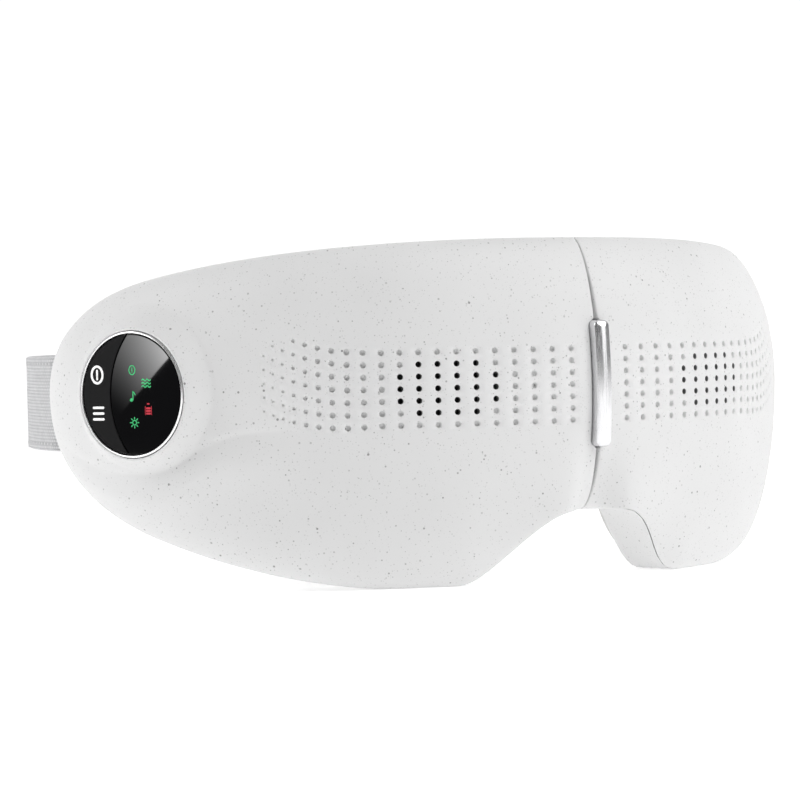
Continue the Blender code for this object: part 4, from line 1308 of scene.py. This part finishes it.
def make_panel(finishes):
    softened = ((0.0, -1.8), (0.0, -0.14), (0.03, -0.06), (0.08, -0.02), (0.16, 0.0))
    lowered = tuple((inset * 1.6, w - 0.1 if w > -1.0 else w) for inset, w in softened)
    finished("display_glass", panel_plate(window_outline(), softened), finishes["display"],
             "control_half", ("display_window",), sharp=FLAT_SHARP, weld=0.0)
    finished("crescent_key", panel_plate(key_outline(), lowered), finishes["key"],
             "rocker", ("rocker_key",), sharp=FLAT_SHARP, weld=0.0)
    profile = ((BEZEL_INNER, -1.6), (BEZEL_INNER, 0.1), (BEZEL_INNER + 0.06, 0.2), (BEZEL_INNER + 0.16, 0.25),
               (BEZEL_OUTER - 0.12, 0.16), (BEZEL_OUTER, 0.0), (BEZEL_OUTER, -1.6))
    ring = lathe(bmesh.new(), PANEL_CENTRE, PANEL_OUT, profile, 128, closed_profile=True)
    finished("bright_bezel", ring, finishes["bright"],
             "control_half", ("bezel_ring",), weld=0.0)


def oval_mark(bm, centre, radii, stroke, faces, sides=48):
    """Oval line of a given stroke."""
    inner = (radii[0] - stroke, radii[1] - stroke)
    corners = ((radii, faces[0]), (radii, faces[1]), (inner, faces[1]), (inner, faces[0]))
    rings = [flat_ring(bm, size, w, sides, centre) for size, w in corners]
    sleeve(bm, rings + rings[:1])


def line_mark(bm, route, width, faces):
    """Line of constant width with round ends through panel points."""
    route = [Vector(point) for point in route]
    left, right = [], []
    for i, point in enumerate(route):
        along = (route[min(i + 1, len(route) - 1)] - route[max(i - 1, 0)]).normalized()
        side = Vector((-along.y, along.x)) * width / 2.0
        left.append(point + side)
        right.append(point - side)
    outline = list(right)
    for end, toward in ((route[-1], route[-1] - route[-2]), (route[0], route[0] - route[1])):
        heading = math.atan2(toward.y, toward.x)
        for k in range(1, 6):
            angle = heading - math.pi / 2.0 + math.pi * k / 6.0
            outline.append(end + Vector((math.cos(angle), math.sin(angle))) * width / 2.0)
        if end is route[-1]:
            outline += list(reversed(left))
    solid(bm, [ring_of(bm, [panel_point(p.x, p.y, w) for p in outline]) for w in faces])


def power_mark(bm, centre, radii, stroke, faces):
    """Oval with an upright line in it."""
    u, v = centre
    oval_mark(bm, centre, radii, stroke, faces)
    line_mark(bm, ((u, v - radii[1] * 0.45), (u, v + radii[1] * 0.45)), stroke * 0.9, faces)


def mode_mark(bm, centre, faces):
    """Three short bars."""
    u, v = centre
    for step in (-1.45, 0.0, 1.45):
        line_mark(bm, ((u - 1.5, v + step), (u + 1.5, v + step)), 0.62, faces)


def wave_mark(bm, centre, faces):
    """Three wavy lines."""
    u, v = centre
    for step in (-0.8, 0.0, 0.8):
        route = [(u + lerp(-1.3, 1.3, k / 16.0), v + step + 0.22 * math.sin(4.0 * math.pi * k / 16.0))
                 for k in range(17)]
        line_mark(bm, route, 0.3, faces)


def note_mark(bm, centre, faces):
    """Musical note."""
    u, v = centre
    oval_mark(bm, (u - 0.35, v - 0.95), (0.48, 0.42), 0.41, faces, 24)
    line_mark(bm, ((u + 0.12, v - 0.9), (u + 0.12, v + 1.2)), 0.26, faces)
    line_mark(bm, ((u + 0.12, v + 1.2), (u + 0.5, v + 0.85), (u + 0.8, v + 0.35)), 0.26, faces)


def battery_mark(bm, centre, faces):
    """Standing battery: a cap, three bars and side lines."""
    u, v = centre
    line_mark(bm, ((u - 0.25, v + 1.45), (u + 0.25, v + 1.45)), 0.36, faces)
    for step in (-0.95, -0.3, 0.35):
        line_mark(bm, ((u - 0.5, v + step), (u + 0.5, v + step)), 0.5, faces)
    for side in (-0.95, 0.95):
        line_mark(bm, ((u + side, v - 1.25), (u + side, v + 0.85)), 0.14, faces)


def heat_mark(bm, centre, faces):
    """Sun: a ring with eight rays."""
    u, v = centre
    oval_mark(bm, centre, (0.72, 0.72), 0.28, faces, 32)
    for angle in full_turn(8):
        x, y = math.cos(angle), math.sin(angle)
        line_mark(bm, ((u + x * 0.95, v + y * 0.95), (u + x * 1.3, v + y * 1.3)), 0.28, faces)


def make_marks(finishes):
    white, green, red = bmesh.new(), bmesh.new(), bmesh.new()
    power_mark(white, (-10.6, 5.0), (2.0, 2.4), 0.62, ON_KEY)
    mode_mark(white, (-10.4, -4.7), ON_KEY)
    power_mark(green, (0.4, 6.1), (1.05, 1.25), 0.26, ON_GLASS)
    wave_mark(green, (4.7, 2.8), ON_GLASS)
    note_mark(green, (0.4, -0.4), ON_GLASS)
    heat_mark(green, (0.85, -7.0), ON_GLASS)
    battery_mark(red, (5.2, -3.8), ON_GLASS)
    finished("key_marks", white, finishes["white"], "rocker", weld=0.0)
    for name, marks, colour in (("lit_marks", green, "green"), ("battery_mark", red, "red")):
        finished(name, marks, finishes[colour], "control_half", weld=0.0)


# ---- strap

def strap_route(step=0.8):
    """The strap's centre line in the row frame, one temple to the other, evenly spaced."""
    half = [(-STRAP_X, lerp(STRAP_START, STRAP_BEND, k / 8.0)) for k in range(8)]
    half += [(-STRAP_X * math.cos(a), STRAP_BEND + STRAP_BACK * math.sin(a)) for a in quarter_turn(90)]
    route = np.array(half + [(-x, y) for x, y in reversed(half[:-1])])
    lengths = np.concatenate(([0.0], np.cumsum(np.hypot(*np.diff(route, axis=0).T))))
    count = round(lengths[-1] / step)
    even = np.linspace(0.0, lengths[-1], count + 1)
    return [Vector((np.interp(d, lengths, route[:, 0]), np.interp(d, lengths, route[:, 1]) - ORIGIN_Y,
                    STRAP_Z - ORIGIN_Z)) for d in even], float(lengths[-1])


STRAP_ROUTE, STRAP_LENGTH = strap_route()


def strap_section():
    """Across and through the strap: flat faces between thick, round selvedges."""
    half, thick = STRAP_WIDTH / 2.0, STRAP_THICK / 2.0
    face = []
    for k in range(21):
        v = lerp(-1.0, 1.0, k / 20.0)
        selvedge = math.exp(-((abs(v) - 0.93) / 0.035) ** 2)
        face.append((v * (half - 0.35), thick * (0.8 + 0.2 * selvedge)))
    return face + [(half, 0.0)] + [(z, -out) for z, out in reversed(face)] + [(-half, 0.0)]


def make_strap(finish):
    """Elastic headband with a UV map in millimetres for its weave."""
    bm = bmesh.new()
    layer = bm.loops.layers.uv.new("weave")
    section = strap_section()
    count = len(section)
    spacing = STRAP_LENGTH / (len(STRAP_ROUTE) - 1)
    rings = []
    for i, point in enumerate(STRAP_ROUTE):
        before, after = STRAP_ROUTE[max(i - 1, 0)], STRAP_ROUTE[min(i + 1, len(STRAP_ROUTE) - 1)]
        along = (after - before).normalized()
        out = Vector((along.y, -along.x, 0.0))
        rings.append(ring_of(bm, [point + Vector((0.0, 0.0, z)) + out * depth for z, depth in section]))
    for i, (ring_a, ring_b) in enumerate(zip(rings, rings[1:])):
        for k in range(count):
            j = (k + 1) % count
            face = bm.faces.new((ring_a[k], ring_a[j], ring_b[j], ring_b[k]))
            places = ((i, k), (i, j), (i + 1, j), (i + 1, k))
            for loop, (ring, corner) in zip(face.loops, places):
                loop[layer].uv = (ring * spacing, section[corner][0])
    bm.faces.new(rings[0])
    bm.faces.new(rings[-1])
    strap = finished("woven_strap", bm, finish, None, ("head_strap",), weld=0.0)
    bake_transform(strap)


def make_strap_keeper(finish):
    """Slider on the strap: a flat loop with softened edges."""
    cos, sin = math.cos(KEEPER_ANGLE), math.sin(KEEPER_ANGLE)
    centre = Vector((-STRAP_X * cos, STRAP_BEND + STRAP_BACK * sin - ORIGIN_Y, STRAP_Z - ORIGIN_Z))
    along = Vector((STRAP_X * sin, STRAP_BACK * cos, 0.0)).normalized()
    out = Vector((along.y, -along.x, 0.0))
    tall, thick, length, soft = STRAP_WIDTH / 2.0, 2.8, 4.5, 0.7
    outer = [(soft * (1.0 - math.sin(a)), soft * (1.0 - math.cos(a))) for a in quarter_turn(4)]
    layers = [(tall + 2.4 - a, thick - a, 1.4, -length + b) for a, b in outer]
    layers += [(tall + 2.4 - a, thick - a, 1.4, length - b) for a, b in reversed(outer)]
    layers += [(tall + 0.8, 1.6, 0.9, length), (tall + 0.5, 1.3, 0.6, length - 0.4)]
    layers += [(tall + 0.5, 1.3, 0.6, -length + 0.4), (tall + 0.8, 1.6, 0.9, -length)]
    bm = bmesh.new()
    rings = []
    for half_height, half_thick, radius, place in layers:
        outline = rounded_rectangle(half_thick, half_height, min(radius, half_thick - 0.05), 6, 6)
        rings.append(ring_of(bm, [centre + along * place + out * p.x + Vector((0.0, 0.0, p.y))
                                  for p in outline]))
    sleeve(bm, rings + rings[:1])
    finished("strap_slider", bm, finish, "control_half", ("strap_keeper",), weld=0.0)


# ---- face pads

def pad_limits(s):
    """Lowest and highest point of the pad at arc s."""
    flare = NOSE_FLARE * 14.0 * (1.0 - smooth((s - 20.0) / 20.0))
    return bottom_edge(s) + 4.5 + flare, top_edge(s) - 4.0


def pocket_share(s, z):
    """1 inside the pocket behind the pad where the airbag and the heating film lie."""
    along = smooth((s - POCKET_ARCS[0]) / POCKET_SOFT) * smooth((POCKET_ARCS[1] - s) / POCKET_SOFT)
    up = smooth((z - POCKET_HEIGHTS[0]) / POCKET_SOFT) * smooth((POCKET_HEIGHTS[1] - z) / POCKET_SOFT)
    return along * up


def pad_form(side):
    """Crowned closed form behind the rear skin; v and u run over its face."""
    def place(u, v, w):
        t = 2.0 * v - 1.0
        deep = back_depth(lerp(PAD_START, PAD_END, u)) + PAD_GAP
        crown = PAD_CROWN * (1.0 - abs(t) ** 3.5) * (1.0 - abs(2.0 * u - 1.0) ** 7)
        face = deep + PAD_BORDER + crown
        start = notch_start(lerp(deep, face, w), PAD_NOTCH)
        s = lerp(start, PAD_END, u)
        low, high = pad_limits(s)
        z = lerp(low, high, v)
        back = back_depth(s) + PAD_GAP
        back += (POCKET_DEPTH - PAD_GAP) * pocket_share(s, z)
        rounding = 1.5 * w ** 3 * max(abs(t) ** 12, abs(2.0 * u - 1.0) ** 24)
        d = max(lerp(back, face - rounding, w), back_depth(s) + PAD_GAP)
        return bend(side, s, d, z)
    return block(place, (64, 34, 3))


def swell(pads):
    """Inflate the pads as cloth, held where they are glued to the shell, and keep the result."""
    starts = {}
    for pad in pads:
        starts[pad.name] = [vert.co.copy() for vert in pad.data.vertices]
        group = pad.vertex_groups.new(name="glued")
        group.add(glued_verts(pad), 1.0, "REPLACE")
        cloth = pad.modifiers.new("swell", "CLOTH")
        for setting, value in PAD_CLOTH.items():
            setattr(cloth.settings, setting, value)
        cloth.settings.effector_weights.gravity = 0.0
        cloth.point_cache.frame_start = 1
        cloth.point_cache.frame_end = SWELL_FRAMES
    for step in range(SWELL_FRAMES):
        bpy.context.scene.frame_set(step + 1)
    for pad in pads:
        apply_modifiers(pad)
        for vert, start in zip(pad.data.vertices, starts[pad.name]):
            move = vert.co - start
            if move.length > PAD_SWELL_CAP * MM:
                vert.co = start + move.normalized() * PAD_SWELL_CAP * MM
    bpy.context.scene.frame_set(1)


def glued_verts(pad):
    """Vertices on the shell's side of the pad."""
    found = []
    for vert in pad.data.vertices:
        point = vert.co / MM
        offset = Vector((abs(point.x), point.y + ORIGIN_Y))
        s = nearest_arc(offset)
        x, y, normal = front_frame(s)
        depth = (Vector((x, y)) - offset).dot(normal) - back_depth(s)
        in_pocket = pocket_share(s, point.z + ORIGIN_Z) > 0.0 and depth < POCKET_DEPTH + 0.4
        if depth < PAD_BORDER * 0.75 or in_pocket:
            found.append(vert.index)
    return found


def nearest_arc(offset):
    """Arc whose normal passes through a plan point behind the front."""
    def past(s):
        x, y, normal = front_frame(s)
        return (offset - Vector((x, y))).dot(Vector((-normal.y, normal.x))) <= 0.0
    low, high = halved(0.0, TEMPLE_END, past)
    return (low + high) / 2.0


def make_cushion(side, finish):
    """The pad itself, before it swells."""
    tag = SIDE_NAMES[side]
    return finished(tag + "_cushion", pad_form(side), finish, BODIES[side], (tag + "_face_pad",),
                    sharp=180.0)


def pad_loop(side, inset, depth, step):
    """Evenly spaced points round a pad, inset from its outline."""
    corners = []
    for u0, v0, u1, v1, count in ((0.0, 0.0, 1.0, 0.0, 60), (1.0, 0.0, 1.0, 1.0, 20),
                                  (1.0, 1.0, 0.0, 1.0, 60), (0.0, 1.0, 0.0, 0.0, 30)):
        corners += [(lerp(u0, u1, k / count), lerp(v0, v1, k / count)) for k in range(count)]
    points = []
    for u, v in corners:
        back = BACK_DEPTH if u < 0.5 else back_depth(lerp(PAD_START, PAD_END, u))
        start = notch_start(back + PAD_GAP + depth, PAD_NOTCH) + inset
        s = lerp(start, PAD_END - inset, u)
        low, high = pad_limits(s)
        z = lerp(low + inset, high - inset, v)
        points.append(bend(side, s, back_depth(s) + PAD_GAP + depth, z))
    return resampled(rounded_route(points), step)


def rounded_route(points, passes=10):
    """Closed route with softened corners."""
    route = [point.copy() for point in points]
    for _ in range(passes):
        following = route[1:] + route[:1]
        route = [(route[i - 1] + point * 2.0 + following[i]) / 4.0 for i, point in enumerate(route)]
    return route


def resampled(route, step):
    """Closed route cut into equal steps."""
    closed = np.array([tuple(p) for p in route] + [tuple(route[0])])
    lengths = np.concatenate(([0.0], np.cumsum(np.linalg.norm(np.diff(closed, axis=0), axis=1))))
    count = round(lengths[-1] / step)
    even = np.linspace(0.0, lengths[-1], count, endpoint=False)
    return [Vector([np.interp(d, lengths, closed[:, k]) for k in range(3)]) for d in even]


def tube_along(bm, route, radius, sides, closed):
    """Round tube through points; an open one narrows at its ends."""
    count = len(route)
    rings = []
    for i, point in enumerate(route):
        before = route[i - 1] if closed or i else route[0]
        after = route[(i + 1) % count] if closed or i < count - 1 else route[-1]
        along = (after - before).normalized()
        across = along.cross(Vector((0.0, 0.0, 1.0)))
        across = along.orthogonal().normalized() if across.length < 0.2 else across.normalized()
        if rings and across.dot(last_across) < 0.0:
            across = -across
        last_across = across
        other = along.cross(across)
        size = radius if closed else radius * (0.5 if i in (0, count - 1) else 1.0)
        rings.append(ring_of(bm, [point + (across * math.cos(a) + other * math.sin(a)) * size
                                  for a in full_turn(sides)]))
    if not closed:
        solid(bm, rings)
    else:
        sleeve(bm, rings)
        shift = min(range(sides), key=lambda k: (rings[-1][0].co - rings[0][k].co).length)
        bridge(bm, rings[-1], rings[0][shift:] + rings[0][:shift])


def make_pad_trim(side, cushion, finishes):
    """Piping round the pad's foot and a row of stitches inside its edge."""
    tag = SIDE_NAMES[side]
    piping = bmesh.new()
    tube_along(piping, pad_loop(side, -0.3, 0.9, 1.5), 0.95, 10, True)
    finished(tag + "_piping", piping, finishes["pad"], BODIES[side], weld=0.0, sharp=180.0)
    tree = BVHTree.FromPolygons([vert.co / MM for vert in cushion.data.vertices],
                                [tuple(face.vertices) for face in cushion.data.polygons])
    route = pad_loop(side, 5.0, 8.0, 1.0)
    stitches = bmesh.new()
    for start in range(0, len(route) - 3, 4):
        points = []
        for k, lift in ((0, -0.15), (1, 0.16), (2, 0.16), (3, -0.15)):
            place, normal, _, _ = tree.find_nearest(route[start + k])
            points.append(place + normal * lift)
        tube_along(stitches, points, 0.28, 6, False)
    finished(tag + "_stitches", stitches, finishes["thread"], BODIES[side], weld=0.0, sharp=60.0)


def make_pads(finishes):
    cushions = {side: make_cushion(side, finishes["pad"]) for side in (CONTROL, BATTERY)}
    swell(cushions.values())
    for side, cushion in cushions.items():
        cushion.data.shade_smooth()
        refine = cushion.modifiers.new("refine", "SUBSURF")
        refine.levels = refine.render_levels = 1
        apply_modifiers(cushion)
        make_pad_trim(side, cushion, finishes)


# ---- carried-over nodes

NODE_FINISHES = (
    ("hinge_leaf", "steel"), ("hinge_screw", "steel"), ("hinge_pin", "steel"), ("shell_screw", "steel"),
    ("strap_anchor", "steel"), ("usb_socket", "steel"), ("vibration_motor", "steel"), ("air_pump", "steel"),
    ("eccentric_weight", "brass"), ("speaker", "black"), ("tact_switch", "black"), ("air_valve", "black"),
    ("air_tube", "tube"), ("airbag", "airbag"), ("heat_film", "heat_film"), ("battery_cell", "cell"),
    ("main_board", "board"), ("charge_board", "board"),
)


def dress_nodes(finishes):
    """Give every CAD node that stays visible its finish."""
    for name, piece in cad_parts.items():
        for ending, finish in NODE_FINISHES:
            if ending in name and not piece.hide_render:
                piece.data.materials.clear()
                piece.data.materials.append(finishes[finish])


# ---- stage, light and camera

def camera_axes():
    """Right, up and back of the view."""
    level = math.cos(CAMERA_ELEVATION)
    cos, sin = math.cos(CAMERA_AZIMUTH), math.sin(CAMERA_AZIMUTH)
    back = Vector((-sin * level, -cos * level, math.sin(CAMERA_ELEVATION)))
    right = Vector((cos, -sin, 0.0))
    up = back.cross(right)
    turned = right * math.cos(CAMERA_ROLL) + up * math.sin(CAMERA_ROLL)
    return turned, up * math.cos(CAMERA_ROLL) - right * math.sin(CAMERA_ROLL), back


def make_camera():
    right, up, back = camera_axes()
    data = bpy.data.cameras.new("camera")
    data.lens = CAMERA_LENS
    data.sensor_width = CAMERA_SENSOR
    data.clip_start, data.clip_end = 0.05, 50.0
    camera = linked("camera", data)
    turned = Matrix((right, up, back)).transposed().to_4x4()
    camera.matrix_world = Matrix.Translation(CAMERA_TARGET + back * CAMERA_DISTANCE) @ turned
    bpy.context.scene.camera = camera


def add_softbox(name, place, target, size, power):
    """Area light that faces a target and that the camera does not see."""
    data = bpy.data.lights.new(name, "AREA")
    data.shape = "RECTANGLE"
    data.size, data.size_y = size
    data.energy = power
    lamp = linked(name, data)
    lamp.location = place
    lamp.rotation_mode = "QUATERNION"
    lamp.rotation_quaternion = (target - place).to_track_quat("-Z", "Y")
    lamp.visible_camera = False
    return lamp


def make_surround():
    """White behind the object, lighting it less from the viewer's side; it always looks white."""
    world = bpy.data.worlds.new("surround")
    world.use_nodes = True
    tree = world.node_tree
    toward = node(tree, "ShaderNodeTexCoord").outputs["Generated"]
    _, _, back = camera_axes()
    share = node(tree, "ShaderNodeVectorMath", {0: toward, 1: -back}, operation="DOT_PRODUCT")
    limits = {"Value": share.outputs["Value"], "From Min": 0.1, "From Max": 0.75,
              "To Min": SURROUND_DIM, "To Max": SURROUND_BRIGHT}
    strength = node(tree, "ShaderNodeMapRange", limits, interpolation_type="SMOOTHSTEP").outputs["Result"]
    seen = node(tree, "ShaderNodeLightPath").outputs["Is Camera Ray"]
    strength = calc(tree, "MAXIMUM", strength, calc(tree, "MULTIPLY", seen, SURROUND_BRIGHT))
    tree.links.new(strength, tree.nodes["Background"].inputs["Strength"])
    tree.nodes["Background"].inputs["Color"].default_value = (1.0, 1.0, 1.0, 1.0)
    bpy.context.scene.world = world


def mirrored_place(camera, u, v, distance):
    """Where the line of sight goes after the disc mirrors it at (u, v)."""
    point = panel_point(u, v, 0.0) * MM
    sight = (point - camera).normalized()
    return point + (sight - PANEL_OUT * 2.0 * sight.dot(PANEL_OUT)) * distance


def fade_softbox(data):
    """Let a softbox fade along its length and, faster, across its width."""
    data.use_nodes = True
    tree = data.node_tree
    place = node(tree, "ShaderNodeNewGeometry").outputs["Parametric"]
    parts = node(tree, "ShaderNodeSeparateXYZ", {"Vector": place}).outputs
    along = calc(tree, "POWER", parts["X"], 2.2)
    across = calc(tree, "POWER", calc(tree, "SUBTRACT", 1.0, parts["Y"]), 3.0)
    tree.links.new(calc(tree, "MULTIPLY", along, across), tree.nodes["Emission"].inputs["Strength"])


def make_display_light():
    """Softbox whose edge the disc mirrors as a slanted line; it fades towards one end."""
    camera = CAMERA_TARGET + camera_axes()[2] * CAMERA_DISTANCE
    high, low = (mirrored_place(camera, u, v, DISPLAY_REACH) for u, v in DISPLAY_EDGE)
    centre = panel_point(0.0, 0.0, 0.0) * MM
    toward = (centre - (high + low) / 2.0).normalized()
    edge = (high - low).normalized()
    side = edge.cross(toward).normalized()
    middle = (high + low) / 2.0 + side * DISPLAY_WIDTH / 2.0
    size = ((high - low).length, DISPLAY_WIDTH)
    lamp = add_softbox("display_light", middle, centre, size, DISPLAY_POWER)
    lamp.rotation_quaternion = Matrix((edge, side, edge.cross(side))).transposed().to_quaternion()
    fade_softbox(lamp.data)


def make_lights():
    """White tent: bright to both sides and dimmer on the viewer's side."""
    make_surround()
    for name, (way, power) in TENT.items():
        place = TENT_MIDDLE + Vector(way).normalized() * TENT_REACH
        add_softbox(name, place, TENT_MIDDLE, (TENT_SIZE, TENT_SIZE), power)
    make_display_light()


def make_floor():
    """Pale floor that runs far past the object, with a glow that rises away from it."""
    made, tree, shader = principled("pale_floor", (0.86, 0.86, 0.86), 0.7)
    drive(shader, "Base Color", tinted(tree, millimetres(tree), 60.0, (0.85, 0.85, 0.85), (0.87, 0.87, 0.87)))
    shader.inputs["Emission Color"].default_value = (1.0, 1.0, 1.0, 1.0)
    away = node(tree, "ShaderNodeVectorMath", {0: millimetres(tree)}, operation="LENGTH").outputs["Value"]
    glow = remap(tree, away, GLOW_START, GLOW_END, FLOOR_GLOW_NEAR, FLOOR_GLOW_FAR)
    drive(shader, "Emission Strength", glow)
    mesh = bpy.data.meshes.new("floor")
    corners = [(x * FLOOR_REACH, y * FLOOR_REACH, 0.0) for x, y in ((-1, -1), (1, -1), (1, 1), (-1, 1))]
    mesh.from_pydata(corners, [], [(0, 1, 2, 3)])
    mesh.materials.append(made)
    linked("floor", mesh)


def main():
    bpy.context.scene.view_settings.view_transform = "Standard"
    make_camera()
    make_lights()
    make_floor()
    finishes = make_materials()
    for side in (CONTROL, BATTERY):
        make_front_skin(side, finishes["shell"], finishes["hole"])
        make_rear_skin(side, finishes["shell"])
    make_hinge_bar(finishes["satin"])
    make_panel(finishes)
    make_marks(finishes)
    make_strap(finishes["strap"])
    make_strap_keeper(finishes["black"])
    make_pads(finishes)
    dress_nodes(finishes)


main()
